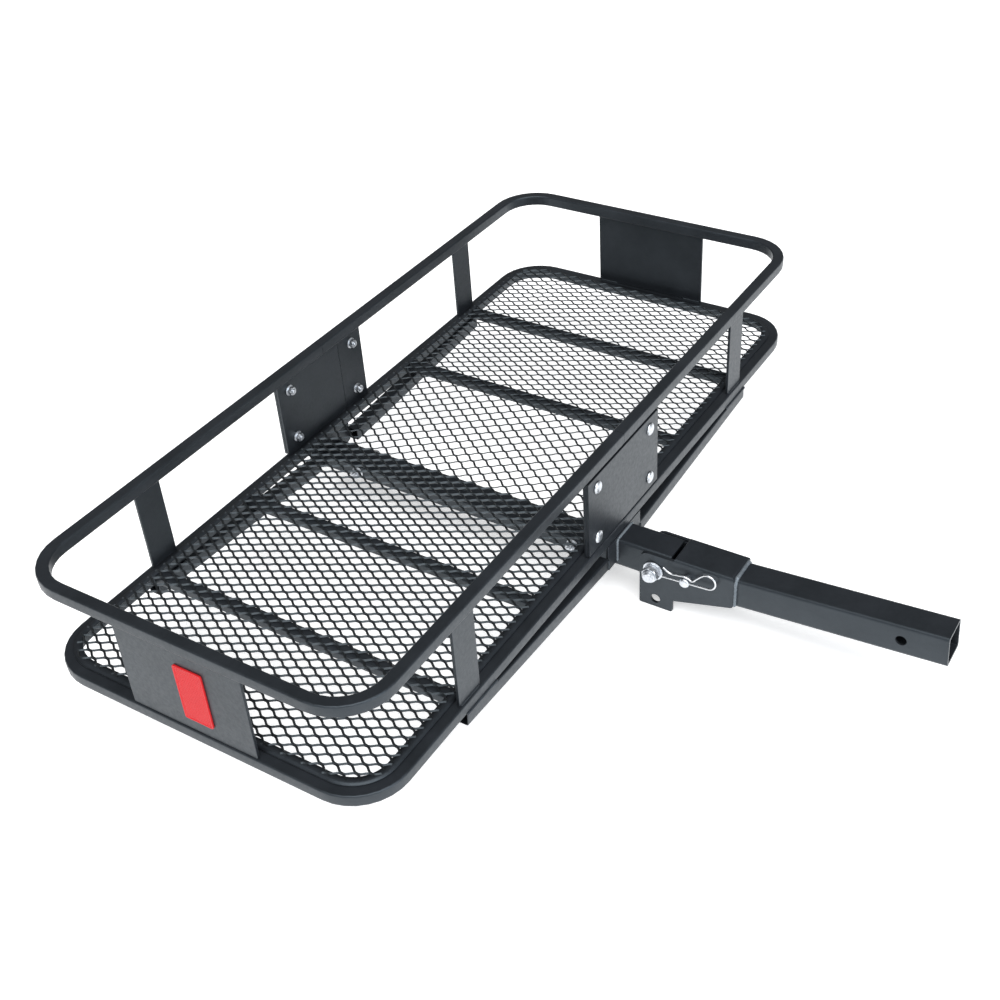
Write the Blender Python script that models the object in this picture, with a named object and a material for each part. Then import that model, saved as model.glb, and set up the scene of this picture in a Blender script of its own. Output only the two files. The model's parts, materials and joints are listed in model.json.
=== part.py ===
"""Hitch cargo carrier: a steel basket with an expanded-metal deck that folds up on a square shank.

Metres, +Z up. +X runs along the basket, across the vehicle, and the shank points to -Y, toward the vehicle.
The origin is the centre of the hitch-pin hole in the shank. The deck is level, and the shank rises a few
degrees toward the vehicle. Every piece is one closed solid, and touching pieces keep GAP between them.
"""

import math

import bmesh
import bpy
from mathutils import Matrix, Vector

GAP = 0.0003  # between two pieces that touch, and round every bolt in its hole

# Basket
BASKET_LENGTH = 1.320
BASKET_WIDTH = 0.580
BASKET_HEIGHT = 0.1775  # underside of the base rail to the top of the top rail
CORNER_RADIUS = 0.080  # of the rails' outer side, in plan
RAIL_TUBE = 0.01905  # square tube of both rails
RAIL_EDGE = 0.0027  # rounding of that tube's long edges
TUBE_WALL = 0.0015

# Deck
CROSSBAR_WIDTH = 0.020
CROSSBAR_HEIGHT = 0.0155
CROSSBAR_PLACES = (-0.440, -0.228, 0.228, 0.440)
SHEET_THICKNESS = 0.003
SHEET_INSET = 0.0105  # of the sheets' edge from the rail's outer side
SHEET_SEAM = -0.031  # where the two sheets meet

# Flat bars and plates between the rails
PLATE = 0.0045
UPRIGHT_WIDTH = 0.050
UPRIGHT_INSET = 0.0045  # of an upright's outer side from the rail's
UPRIGHT_NEAR = 0.411  # from the centre, one on each long side of a half
UPRIGHT_FAR = 0.431
END_PLATE_WIDTH = 0.216
END_PLATE_INSET = 0.0025
SPLICE_WIDTH = 0.220
SPLICE_CLEARANCE = 0.0035  # above the base rail and below the top rail
HALF_PLATE_SEAM = 0.049  # the two half plates of a side meet this far from the centre
BOLT_SPREAD = 0.083  # of the splice bolts, from the centre
BOLT_LEVELS = (0.0435, 0.1345)

# Under the deck
BRACE_TUBE = 0.0222
BRACE_START = 0.446  # outer end, from the centre
BRACE_DROP = 0.0235  # how much lower the inner end lies
GUSSET_WIDTH = 0.104
GUSSET_DEPTH = 0.047
GUSSET_PLATE = 0.005
CENTRE_TUBE = 0.0254  # height: the two side by side are as wide as the stub
CENTRE_TUBE_TOP = 0.032  # below the base rail's underside
JOINING_BOLT_INSET = 0.079  # from the basket's outer sides, front and rear

# Shank, carrier stub and the fold between them
SQUARE_TUBE = 0.0508  # fits a 2-inch receiver
SQUARE_TUBE_WALL = 0.004
SQUARE_TUBE_EDGE = 0.005
SHANK_PITCH = math.radians(3.9)
SHANK_PIN_HOLE = 0.0164
SHANK_BEYOND_PIN = 0.066
PIVOT_BEHIND_PIN = 0.3814  # along the shank
PIVOT_ABOVE_SHANK = 0.0065  # over the shank's centre line
BASKET_BEHIND_PIVOT = 0.065  # the base rail's outer side
DECK_ABOVE_PIVOT = 0.036  # the base rail's underside
STUB_ABOVE_PIVOT = 0.0055  # the stub's centre line
STUB_CLEARANCE = 0.0018  # round the stub's swing
STUB_IN_BASKET = 0.028  # how far the stub runs in past the base rail's outer side
PIN_SPACING = 0.056  # pivot to lock pin
PIN_DIAMETER = 0.015875
PIN_CHAMFER = 0.002
PIN_EDGE = 0.018  # metal left past the lock pin, at the stub's end
BRACKET_PLATE = 0.005
BRACKET_FRONT = 0.131  # ahead of the pivot
BRACKET_REAR = 0.0235  # behind the pivot
BRACKET_CORNER = 0.014
BRACKET_EDGE = 0.003  # rounding of its other corners
BRACKET_LIP = 0.0225  # the bracket's front edge ends this far below the pivot
BRACKET_HEEL = 0.049  # the lower edge meets the tab this far below the pivot
CHEEK_BELOW_TOP = 0.0037  # the plates behind the bracket's top are this much lower
TAB_BELOW_HOLE = 0.0155  # metal under the lower lock hole
TAB_FRONT = 0.0325  # ahead of the pivot
TOP_CLEARANCE = 0.0008  # from the bracket's top to the folded stub
SLOT_CLEARANCE = 0.0006  # round the lock pin in the stub's slot
SLOT_SWEEP = math.radians(55)
PIN_HEAD_DIAMETER = 0.026
PIN_HEAD = 0.007
PIN_HEAD_EDGE = 0.0015
PIN_TAIL = 0.0125  # past the bracket's plate
CLIP_WIRE = 0.0032
CLIP_LOOP = 0.0125  # radius of the clip's loop, at the wire's centre
CLIP_LOOP_AHEAD = 0.0385  # of the lock pin
CLIP_LOOP_SWEEP = math.radians(221)
CLIP_LEG = 0.037  # the straight leg ends this far behind the lock pin
CLIP_RIDE = 0.0009  # between the sprung leg and the lock pin
CLIP_SPRUNG_LEG = (  # from the loop to the tip: behind the lock pin, and above where the wire rides over it
    (-0.0205, 0.0027),
    (-0.0125, -0.0040),
    (-0.0065, -0.0014),
    (0.0010, 0.0006),
    (0.0110, 0.0002),
    (0.0230, -0.0002),
    (0.0345, 0.0075),
)
CLIP_OUT = 0.0078  # the clip's centre plane, out from the bracket's plate

# Fasteners
SPLICE_BOLT = 0.008
SPLICE_HEAD = 0.020
SPLICE_HEAD_HEIGHT = 0.0045
SPLICE_NUT_FLATS = 0.013
SPLICE_NUT_FLANGE = 0.0185
SPLICE_NUT_HEIGHT = 0.008
SPLICE_BOLT_END = 0.003  # thread past the nut
JOINING_BOLT = 0.010
JOINING_FLATS = 0.017
JOINING_NUT_FLANGE = 0.0212
JOINING_NUT_HEIGHT = 0.0095
JOINING_HEAD_HEIGHT = 0.0065
JOINING_BOLT_END = 0.0055
PIVOT_FLATS = 0.0238
PIVOT_NUT_FLANGE = 0.0257
PIVOT_HEAD_HEIGHT = 0.010
PIVOT_NUT_HEIGHT = 0.0165
PIVOT_BOLT_END = 0.0025
WASHER_DIAMETER = 0.033
WASHER_THICKNESS = 0.0024
NUT_FLANGE_SHARE = 0.16  # of a nut's height
NUT_SLOPE_SHARE = 0.064  # from the flange's rim to the hexagon

# Reflectors
REFLECTOR_WIDTH = 0.049
REFLECTOR_HEIGHT = 0.095
REFLECTOR_THICKNESS = 0.0025
REFLECTOR_CORNER = 0.004
REFLECTOR_OFFSET = -0.016  # along Y on the -X end, and turned half round on the other

RAIL_TOP = RAIL_TUBE
DECK_RISE = BASKET_HEIGHT - 2 * RAIL_TUBE  # clear height between the rails
HALF_LENGTH = BASKET_LENGTH / 2
HALF_WIDTH = BASKET_WIDTH / 2
HALF_TUBE = SQUARE_TUBE / 2
BRACKET_INNER = HALF_TUBE + GAP  # half the width between the bracket's plates
BRACKET_OUTER = BRACKET_INNER + BRACKET_PLATE
SHANK_TOP = HALF_TUBE - PIVOT_ABOVE_SHANK  # above the pivot, square to the shank
ROOF_ON_SHANK = BRACKET_FRONT * math.tan(SHANK_PITCH) + SHANK_TOP / math.cos(SHANK_PITCH)
BRACKET_ROOF = ROOF_ON_SHANK + GAP  # the underside of the bracket's top, above the pivot
BRACKET_TOP = BRACKET_ROOF + BRACKET_PLATE
STUB_TOP = STUB_ABOVE_PIVOT + HALF_TUBE
ROOF_REAR = STUB_TOP + TOP_CLEARANCE  # the bracket's top ends this far ahead of the pivot
STUB_REACH = PIN_SPACING + PIN_EDGE
STUB_STEP_TOP = BRACKET_ROOF - STUB_CLEARANCE  # the stub's front is lower, to swing under the bracket's top
STUB_STEP = math.sqrt((math.hypot(ROOF_REAR, BRACKET_ROOF) - STUB_CLEARANCE) ** 2 - STUB_TOP**2)
SHANK_SETBACK = math.hypot(STUB_REACH, STUB_TOP) + STUB_CLEARANCE  # the shank stops outside the stub's swing
LOCK_BEARING = math.pi - SHANK_PITCH  # the lock pin's, from the pivot
LOCK_PLACE = PIN_SPACING * Vector((math.cos(LOCK_BEARING), math.sin(LOCK_BEARING)))
FOLDED_LOCK_PLACE = Vector((-LOCK_PLACE.y, LOCK_PLACE.x))
JOINING_BOLT_SPREAD = HALF_WIDTH - JOINING_BOLT_INSET
CENTRE_BEHIND_PIVOT = BASKET_BEHIND_PIVOT + HALF_WIDTH
PIN_HOLE = PIN_DIAMETER + 2 * GAP


def finish(name, colour, roughness, metallic):
    """A Principled material."""
    made = bpy.data.materials.new(name)
    made.use_nodes = True
    shader = made.node_tree.nodes["Principled BSDF"]
    shader.inputs["Base Color"].default_value = (*colour, 1)
    shader.inputs["Roughness"].default_value = roughness
    shader.inputs["Metallic"].default_value = metallic
    return made


def empty(name, parent=None, location=(0, 0, 0), tilt=0.0):
    """An empty to parent pieces to, turned about X by tilt."""
    made = bpy.data.objects.new(name, None)
    made.parent = parent
    made.location = location
    made.rotation_euler = (tilt, 0, 0)
    bpy.context.scene.collection.objects.link(made)
    return made


def turn_to(facing):
    """The rotation that points local Z along facing, with local X along world X, or Y where that fails."""
    along = Vector(facing).normalized()
    across = Vector((0, 1, 0)) if abs(along.x) > 0.5 else Vector((1, 0, 0))
    return Matrix((across, along.cross(across), along)).transposed().to_euler()


def piece(name, shape, material, parent, location=(0, 0, 0), facing=(0, 0, 1)):
    """An object of a bmesh, placed in its parent with its local Z along facing."""
    mesh = bpy.data.meshes.new(name)
    bmesh.ops.recalc_face_normals(shape, faces=shape.faces)
    shape.to_mesh(mesh)
    shape.free()
    mesh.shade_smooth()
    mesh.set_sharp_from_angle(angle=math.radians(40))
    made = bpy.data.objects.new(name, mesh)
    made.parent = parent
    made.location = location
    made.rotation_euler = turn_to(facing)
    if material:
        mesh.materials.append(material)
    bpy.context.scene.collection.objects.link(made)
    return made


def cut(target, name, shape, location=(0, 0, 0), facing=(0, 0, 1)):
    """Takes shape out of target. The location and facing are in the target's parent."""
    cutter = piece(name, shape, None, target.parent, location, facing)
    cutter.hide_render = True
    cutter.display_type = "WIRE"
    modifier = target.modifiers.new(name, "BOOLEAN")
    modifier.object = cutter
    modifier.operation = "DIFFERENCE"
    modifier.solver = "EXACT"


def circle(radius, sides):
    """Points round a circle."""
    turns = [2 * math.pi * i / sides for i in range(sides)]
    return [(radius * math.cos(turn), radius * math.sin(turn)) for turn in turns]


def hexagon(flats, sides=12):
    """Points round a hexagon this wide across flats, as many as a circle of that many sides has."""
    points = []
    for i in range(sides):
        turn = 2 * math.pi * i / sides
        off_flat = (turn + math.pi / 6) % (math.pi / 3) - math.pi / 6
        radius = flats / 2 / math.cos(off_flat)
        points.append((radius * math.cos(turn), radius * math.sin(turn)))
    return points


def rectangle(width, height, radius=0.0, steps=2):
    """Points round a rectangle, with each corner an arc of that many chords."""
    points = []
    for quarter, (side, up) in enumerate(((1, 1), (-1, 1), (-1, -1), (1, -1))):
        centre = Vector((side * (width / 2 - radius), up * (height / 2 - radius)))
        for step in range(steps + 1 if radius else 1):
            turn = math.pi / 2 * (quarter + step / steps)
            points.append(centre + radius * Vector((math.cos(turn), math.sin(turn))))
    return points


def rounded(corners, steps=3):
    """An outline from (a, b, radius) corners, each with a radius rounded by an arc of that many chords."""
    points = []
    for i, (a, b, radius) in enumerate(corners):
        corner = Vector((a, b))
        if not radius:
            points.append(corner)
            continue
        back = (Vector(corners[i - 1][:2]) - corner).normalized()
        ahead = (Vector(corners[(i + 1) % len(corners)][:2]) - corner).normalized()
        half = back.angle(ahead) / 2
        centre = corner + (back + ahead).normalized() * radius / math.sin(half)
        start = corner + back * radius / math.tan(half) - centre
        sweep_angle = start.angle_signed(corner + ahead * radius / math.tan(half) - centre)
        for step in range(steps + 1):
            points.append(centre + Matrix.Rotation(-sweep_angle * step / steps, 2) @ start)
    return points


def sweep(sections):
    """A solid through sections, each (matrix, outer points) or, for a tube, (matrix, outer, inner points)."""
    shape = bmesh.new()
    skins = []
    for loop in range(1, len(sections[0])):
        rings = []
        for section in sections:
            rings.append([shape.verts.new(section[0] @ Vector((a, b, 0))) for a, b in section[loop]])
        for ring, following in zip(rings, rings[1:]):
            for i in range(len(ring)):
                shape.faces.new((ring[i - 1], ring[i], following[i], following[i - 1]))
        skins.append(rings)
    for end in (0, -1):
        rings = [skin[end] for skin in skins]
        if len(rings) == 1:
            shape.faces.new(rings[0])
            continue
        outer, inner = rings
        for i in range(len(outer)):
            shape.faces.new((outer[i - 1], outer[i], inner[i], inner[i - 1]))
    return shape


def prism(outline, depth):
    """An outline given as (x, y) points, made this deep about z = 0."""
    return sweep([(Matrix.Translation((0, 0, side * depth / 2)), outline) for side in (-1, 1)])


def box(size):
    """A box about the origin."""
    return prism(rectangle(size[0], size[1]), size[2])


def side_outline(outline, width):
    """An outline given as (y, z) points, made this wide about x = 0."""
    turn = Matrix(((0, 0, 1, 0), (1, 0, 0, 0), (0, 1, 0, 0), (0, 0, 0, 1)))
    shape = prism(outline, width)
    shape.transform(turn)
    return shape


def front_outline(outline, depth):
    """An outline given as (x, z) points, made this deep about y = 0."""
    shape = prism(outline, depth)
    shape.transform(Matrix.Rotation(math.pi / 2, 4, "X"))
    return shape


def turned(profile, sides):
    """A solid turned about Z from (radius, z) points that start and end on the axis."""
    shape = bmesh.new()
    points = [shape.verts.new((radius, 0, z)) for radius, z in profile]
    edges = [shape.edges.new(pair) for pair in zip(points, points[1:])]
    bmesh.ops.spin(shape, geom=points + edges, axis=(0, 0, 1), angle=2 * math.pi, steps=sides, use_merge=True)
    bmesh.ops.remove_doubles(shape, verts=shape.verts, dist=1e-6)
    return shape


def drills(places, diameter, depth, axis, sides=16):
    """Cylinders along axis X or Y about these places, as one cutter."""
    shape = bmesh.new()
    turn = Matrix.Rotation(math.pi / 2, 4, {"X": "Y", "Y": "X"}[axis])
    for place in places:
        bmesh.ops.create_cone(
            shape,
            cap_ends=True,
            segments=sides,
            radius1=diameter / 2,
            radius2=diameter / 2,
            depth=depth,
            matrix=Matrix.Translation(place) @ turn,
        )
    return shape


def tube(length, width, height, wall, edge):
    """A straight tube along Z with open ends, about the origin."""
    outer = rectangle(width, height, edge)
    inner = rectangle(width - 2 * wall, height - 2 * wall, max(edge - wall, edge / 4))
    return sweep([(Matrix.Translation((0, 0, side * length / 2)), outer, inner) for side in (-1, 1)])


def nut(flats, height, bore, flange, sides=12):
    """A hexagon nut with a round flange at z = 0, its bore clear of the bolt."""
    hole = circle(bore / 2 + GAP, sides)
    levels = [
        (0, circle(flange / 2, sides)),
        (height * NUT_FLANGE_SHARE, circle(flange / 2, sides)),
        (height * (NUT_FLANGE_SHARE + NUT_SLOPE_SHARE), hexagon(flats, sides)),
        (height, hexagon(flats, sides)),
    ]
    return sweep([(Matrix.Translation((0, 0, z)), outer, hole) for z, outer in levels])


def hex_bolt(flats, head, diameter, length):
    """A bolt along Z: the head stands on z = 0, and the shank hangs below it."""
    levels = [
        (-length, circle(diameter / 2, 12)),
        (0, circle(diameter / 2, 12)),
        (0, hexagon(flats)),
        (head, hexagon(flats)),
    ]
    return sweep([(Matrix.Translation((0, 0, z)), outer) for z, outer in levels])


def rail(side):
    """One half of a rail, a bent square tube: side is -1 for the half at -X and 1 for the other."""
    outer = rectangle(RAIL_TUBE, RAIL_TUBE, RAIL_EDGE)
    inner = rectangle(RAIL_TUBE - 2 * TUBE_WALL, RAIL_TUBE - 2 * TUBE_WALL, RAIL_EDGE - TUBE_WALL)
    bend = CORNER_RADIUS - RAIL_TUBE / 2
    corner = Vector((HALF_LENGTH - CORNER_RADIUS, HALF_WIDTH - CORNER_RADIUS))
    stops = [(Vector((GAP / 2, -HALF_WIDTH + RAIL_TUBE / 2)), -math.pi / 2)]
    for up in (-1, 1):
        for step in range(9):
            turn = math.pi / 2 * ((up - 1) / 2 + step / 8)
            centre = Vector((corner.x, up * corner.y))
            stops.append((centre + bend * Vector((math.cos(turn), math.sin(turn))), turn))
    stops.append((Vector((GAP / 2, HALF_WIDTH - RAIL_TUBE / 2)), math.pi / 2))
    sections = []
    for place, turn in stops:
        outward = Vector((side * math.cos(turn), side * math.sin(turn), 0))
        along = Vector((-outward.y, outward.x, 0))
        frame = Matrix((outward, (0, 0, 1), along)).transposed().to_4x4()
        frame.translation = (side * place.x, side * place.y, RAIL_TUBE / 2)
        sections.append((frame, outer, inner))
    return sweep(sections)


def sheet(start, end):
    """The deck sheet from x = start to x = end, rounded with the rail at its far corners."""
    radius = CORNER_RADIUS - SHEET_INSET
    far = HALF_WIDTH - SHEET_INSET
    outline = []
    for turn_start, (x, y) in ((0, (end, far)), (1, (start, far)), (2, (start, -far)), (3, (end, -far))):
        if abs(x) < HALF_LENGTH - SHEET_INSET - GAP:
            outline.append((x, y))
            continue
        centre = Vector((x - math.copysign(radius, x), y - math.copysign(radius, y)))
        for step in range(9):
            turn = math.pi / 2 * (turn_start + step / 8)
            outline.append(centre + radius * Vector((math.cos(turn), math.sin(turn))))
    return prism(outline, SHEET_THICKNESS)


def side_name(side, negative, positive):
    """The word for the side that the sign of side gives."""
    return negative if side < 0 else positive


def build_shank(shank, level, steel, zinc):
    """The shank, the fold bracket welded over its end, and the pivot bolt. The bracket is level."""
    front = -SHANK_BEYOND_PIN
    rear = PIVOT_BEHIND_PIN - SHANK_SETBACK
    shank_tube = piece(
        "shank_tube",
        tube(rear - front, SQUARE_TUBE, SQUARE_TUBE, SQUARE_TUBE_WALL, SQUARE_TUBE_EDGE),
        steel,
        shank,
        (0, (rear + front) / 2, 0),
        (0, 1, 0),
    )
    cut(shank_tube, "hitch_pin_cut", drills([(0, 0, 0)], SHANK_PIN_HOLE, 2 * SQUARE_TUBE, "X", 24))

    tab_bottom = PIN_SPACING + TAB_BELOW_HOLE
    cheek_top = BRACKET_TOP - CHEEK_BELOW_TOP
    outline = rounded(
        [
            (-BRACKET_FRONT, BRACKET_TOP, 0),
            (-BRACKET_FRONT, -BRACKET_LIP, BRACKET_EDGE),
            (-TAB_FRONT, -BRACKET_HEEL, BRACKET_EDGE),
            (-TAB_FRONT, -tab_bottom, BRACKET_EDGE),
            (BRACKET_REAR, -tab_bottom, BRACKET_EDGE),
            (BRACKET_REAR, cheek_top, BRACKET_CORNER),
            (-ROOF_REAR, cheek_top, 0),
            (-ROOF_REAR, BRACKET_TOP, 0),
        ]
    )
    bracket = piece("fold_bracket", side_outline(outline, 2 * BRACKET_OUTER), steel, level)
    deep = 4 * tab_bottom
    cut(bracket, "bracket_inside_cut", box((2 * BRACKET_INNER, deep, deep)), (0, 0, BRACKET_ROOF - deep / 2))
    cut(bracket, "bracket_rear_cut", box((2 * BRACKET_INNER, deep, deep)), (0, deep / 2 - ROOF_REAR, 0))
    holes = [(0, 0, 0), (0, *LOCK_PLACE), (0, *FOLDED_LOCK_PLACE)]
    cut(bracket, "bracket_holes_cut", drills(holes, PIN_HOLE, 4 * BRACKET_OUTER, "X", 24))

    grip = 2 * BRACKET_OUTER + WASHER_THICKNESS + PIVOT_NUT_HEIGHT + 4 * GAP + PIVOT_BOLT_END
    seat = BRACKET_OUTER + GAP
    bolt = hex_bolt(PIVOT_FLATS, PIVOT_HEAD_HEIGHT, PIN_DIAMETER, grip)
    piece("pivot_bolt", bolt, zinc, level, (seat, 0, 0), (1, 0, 0))
    rings = (circle(WASHER_DIAMETER / 2, 24), circle(PIN_HOLE / 2, 24))
    washer = sweep([(Matrix.Translation((0, 0, z)), *rings) for z in (0, WASHER_THICKNESS)])
    piece("pivot_washer", washer, zinc, level, (-seat, 0, 0), (-1, 0, 0))
    lock_nut = nut(PIVOT_FLATS, PIVOT_NUT_HEIGHT, PIN_DIAMETER, PIVOT_NUT_FLANGE)
    piece("pivot_nut", lock_nut, zinc, level, (-seat - WASHER_THICKNESS - GAP, 0, 0), (-1, 0, 0))


def build_lock(lock, zinc, wire):
    """The lock pin through the bracket and the stub, and its spring clip."""
    seat = BRACKET_OUTER + GAP
    radius = PIN_DIAMETER / 2
    tail = -2 * BRACKET_OUTER - GAP - PIN_TAIL
    profile = [
        (0, tail),
        (radius - PIN_CHAMFER, tail),
        (radius, tail + PIN_CHAMFER),
        (radius, 0),
        (PIN_HEAD_DIAMETER / 2, 0),
        (PIN_HEAD_DIAMETER / 2, PIN_HEAD - PIN_HEAD_EDGE),
        (PIN_HEAD_DIAMETER / 2 - PIN_HEAD_EDGE, PIN_HEAD),
        (0, PIN_HEAD),
    ]
    pin = piece("lock_pin", turned(profile, 24), zinc, lock, (seat, 0, 0), (1, 0, 0))
    plane = -BRACKET_OUTER - CLIP_OUT
    cut(pin, "clip_hole_cut", drills([(plane, 0, 0)], CLIP_WIRE + 2 * GAP, 4 * PIN_DIAMETER, "Y", 12))

    loop = Vector((-CLIP_LOOP_AHEAD, CLIP_LOOP))
    route = [Vector((CLIP_LEG, 0)), Vector((PIN_DIAMETER, 0)), Vector((-PIN_DIAMETER, 0))]
    for step in range(7):
        turn = -math.pi / 2 - CLIP_LOOP_SWEEP * step / 6
        route.append(loop + CLIP_LOOP * Vector((math.cos(turn), math.sin(turn))))
    over = radius + CLIP_WIRE / 2 + CLIP_RIDE
    route += [Vector((along, over + up)) for along, up in CLIP_SPRUNG_LEG]
    curve = bpy.data.curves.new("pin_clip", "CURVE")
    curve.dimensions = "3D"
    curve.bevel_depth = CLIP_WIRE / 2
    curve.bevel_resolution = 2
    curve.resolution_u = 3
    curve.use_fill_caps = True
    spline = curve.splines.new("BEZIER")
    spline.bezier_points.add(len(route) - 1)
    for point, place in zip(spline.bezier_points, route):
        point.co = (plane, place.x, place.y)
        point.handle_left_type = "AUTO"
        point.handle_right_type = "AUTO"
    curve.materials.append(wire)
    clip = bpy.data.objects.new("pin_clip", curve)
    clip.parent = lock
    bpy.context.scene.collection.objects.link(clip)


def build_stub(fold, steel):
    """The carrier's square tube from the pivot into the basket, slotted to swing past the lock pin."""
    rear = BASKET_BEHIND_PIVOT + STUB_IN_BASKET
    length = rear + STUB_REACH
    stub = piece(
        "carrier_stub",
        tube(length, SQUARE_TUBE, SQUARE_TUBE, SQUARE_TUBE_WALL, SQUARE_TUBE_EDGE),
        steel,
        fold,
        (0, (rear - STUB_REACH) / 2, STUB_ABOVE_PIVOT),
        (0, 1, 0),
    )
    step_size = Vector((2 * SQUARE_TUBE, STUB_REACH, SQUARE_TUBE))
    step_place = (0, -STUB_STEP - step_size.y / 2, STUB_STEP_TOP + step_size.z / 2)
    cut(stub, "stub_step_cut", box(step_size), step_place)
    cut(stub, "stub_pivot_cut", drills([(0, 0, 0)], PIN_HOLE, 2 * SQUARE_TUBE, "X", 24))

    half_slot = PIN_DIAMETER / 2 + SLOT_CLEARANCE
    open_end = LOCK_BEARING - SLOT_SWEEP
    slot = []
    for step in range(9):
        turn = open_end + SLOT_SWEEP * step / 8
        slot.append((PIN_SPACING + half_slot) * Vector((math.cos(turn), math.sin(turn))))
    for step in range(1, 8):
        turn = LOCK_BEARING + math.pi * step / 8
        slot.append(LOCK_PLACE + half_slot * Vector((math.cos(turn), math.sin(turn))))
    for step in range(9):
        turn = LOCK_BEARING - SLOT_SWEEP * step / 8
        slot.append((PIN_SPACING - half_slot) * Vector((math.cos(turn), math.sin(turn))))
    cut(stub, "stub_slot_cut", side_outline(slot, 2 * SQUARE_TUBE))


def build_under_deck(deck, steel, zinc):
    """The gussets, centre tubes with their bolts, and sloping braces below the base rails."""
    stub_top = STUB_TOP - DECK_ABOVE_PIVOT + GAP
    notch = HALF_TUBE + GAP
    half = GUSSET_WIDTH / 2
    saddle = [
        (-half, -GAP),
        (-half, -GUSSET_DEPTH),
        (-notch, -GUSSET_DEPTH),
        (-notch, stub_top),
        (notch, stub_top),
        (notch, -GUSSET_DEPTH),
        (half, -GUSSET_DEPTH),
        (half, -GAP),
    ]
    gusset_y = HALF_WIDTH - GUSSET_PLATE / 2
    piece("front_gusset", front_outline(saddle, GUSSET_PLATE), steel, deck, (0, -gusset_y, 0))
    tube_bottom = CENTRE_TUBE_TOP + CENTRE_TUBE
    plate = [(-half, -GAP), (-half, -GUSSET_DEPTH), (-HALF_TUBE, -tube_bottom)]
    plate += [(HALF_TUBE, -tube_bottom), (half, -GUSSET_DEPTH), (half, -GAP)]
    piece("rear_gusset", front_outline(plate, GUSSET_PLATE), steel, deck, (0, gusset_y, 0))

    front = -HALF_WIDTH + STUB_IN_BASKET + GAP
    rear = HALF_WIDTH - GUSSET_PLATE - GAP
    middle = -CENTRE_TUBE_TOP - CENTRE_TUBE / 2
    width = HALF_TUBE - GAP / 2
    grip = SQUARE_TUBE + 3 * GAP + JOINING_NUT_HEIGHT + JOINING_BOLT_END
    for side in (-1, 1):
        half_name = side_name(side, "left", "right")
        centre_tube = piece(
            f"centre_tube_{half_name}",
            tube(rear - front, width, CENTRE_TUBE, TUBE_WALL, RAIL_EDGE),
            steel,
            deck,
            (side * (width + GAP) / 2, (rear + front) / 2, middle),
            (0, 1, 0),
        )
        places = [(side * width / 2, end * JOINING_BOLT_SPREAD, middle) for end in (-1, 1)]
        holes = drills(places, JOINING_BOLT + 2 * GAP, SQUARE_TUBE, "X")
        cut(centre_tube, f"joining_cut_{half_name}", holes)
        end_name = side_name(side, "front", "rear")
        y = side * JOINING_BOLT_SPREAD
        bolt = hex_bolt(JOINING_FLATS, JOINING_HEAD_HEIGHT, JOINING_BOLT, grip)
        piece(f"joining_bolt_{end_name}", bolt, zinc, deck, (HALF_TUBE + GAP, y, middle), (1, 0, 0))
        lock_nut = nut(JOINING_FLATS, JOINING_NUT_HEIGHT, JOINING_BOLT, JOINING_NUT_FLANGE)
        piece(f"joining_nut_{end_name}", lock_nut, zinc, deck, (-HALF_TUBE - GAP, y, middle), (-1, 0, 0))

    inner_end = half + GAP
    slope = math.atan2(BRACE_DROP, BRACE_START - inner_end)
    length = (BRACE_START - inner_end) / math.cos(slope)
    for end in (-1, 1):
        for side in (-1, 1):
            along = Vector((side * math.cos(slope), 0, math.sin(slope)))
            top_middle = Vector((side * (BRACE_START + inner_end) / 2, 0, -BRACE_DROP / 2 - GAP))
            down = BRACE_TUBE / 2 * Vector((side * math.sin(slope), 0, -math.cos(slope)))
            place = top_middle + down
            place.y = end * (HALF_WIDTH - BRACE_TUBE / 2)
            name = f"brace_{side_name(end, 'front', 'rear')}_{side_name(side, 'left', 'right')}"
            brace = tube(length, BRACE_TUBE, BRACE_TUBE, TUBE_WALL, RAIL_EDGE)
            piece(name, brace, steel, deck, place, along)


def build_deck(deck, steel, sheet_steel):
    """The rails, the crossbars between them and the two deck sheets."""
    for side in (-1, 1):
        half_name = side_name(side, "left", "right")
        piece(f"base_frame_{half_name}", rail(side), steel, deck)
        piece(f"top_rail_{half_name}", rail(side), steel, deck, (0, 0, BASKET_HEIGHT - RAIL_TUBE))
    span = BASKET_WIDTH - 2 * RAIL_TUBE - 2 * GAP
    level = RAIL_TOP - CROSSBAR_HEIGHT / 2
    for number, x in enumerate(CROSSBAR_PLACES, start=1):
        crossbar = tube(span, CROSSBAR_WIDTH, CROSSBAR_HEIGHT, TUBE_WALL, RAIL_EDGE)
        piece(f"crossbar_{number}", crossbar, steel, deck, (x, 0, level), (0, 1, 0))
    edge = HALF_LENGTH - SHEET_INSET
    level = RAIL_TOP + GAP + SHEET_THICKNESS / 2
    piece("mesh_sheet_left", sheet(-edge, SHEET_SEAM - GAP / 2), sheet_steel, deck, (0, 0, level))
    piece("mesh_sheet_right", sheet(SHEET_SEAM + GAP / 2, edge), sheet_steel, deck, (0, 0, level))


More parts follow.
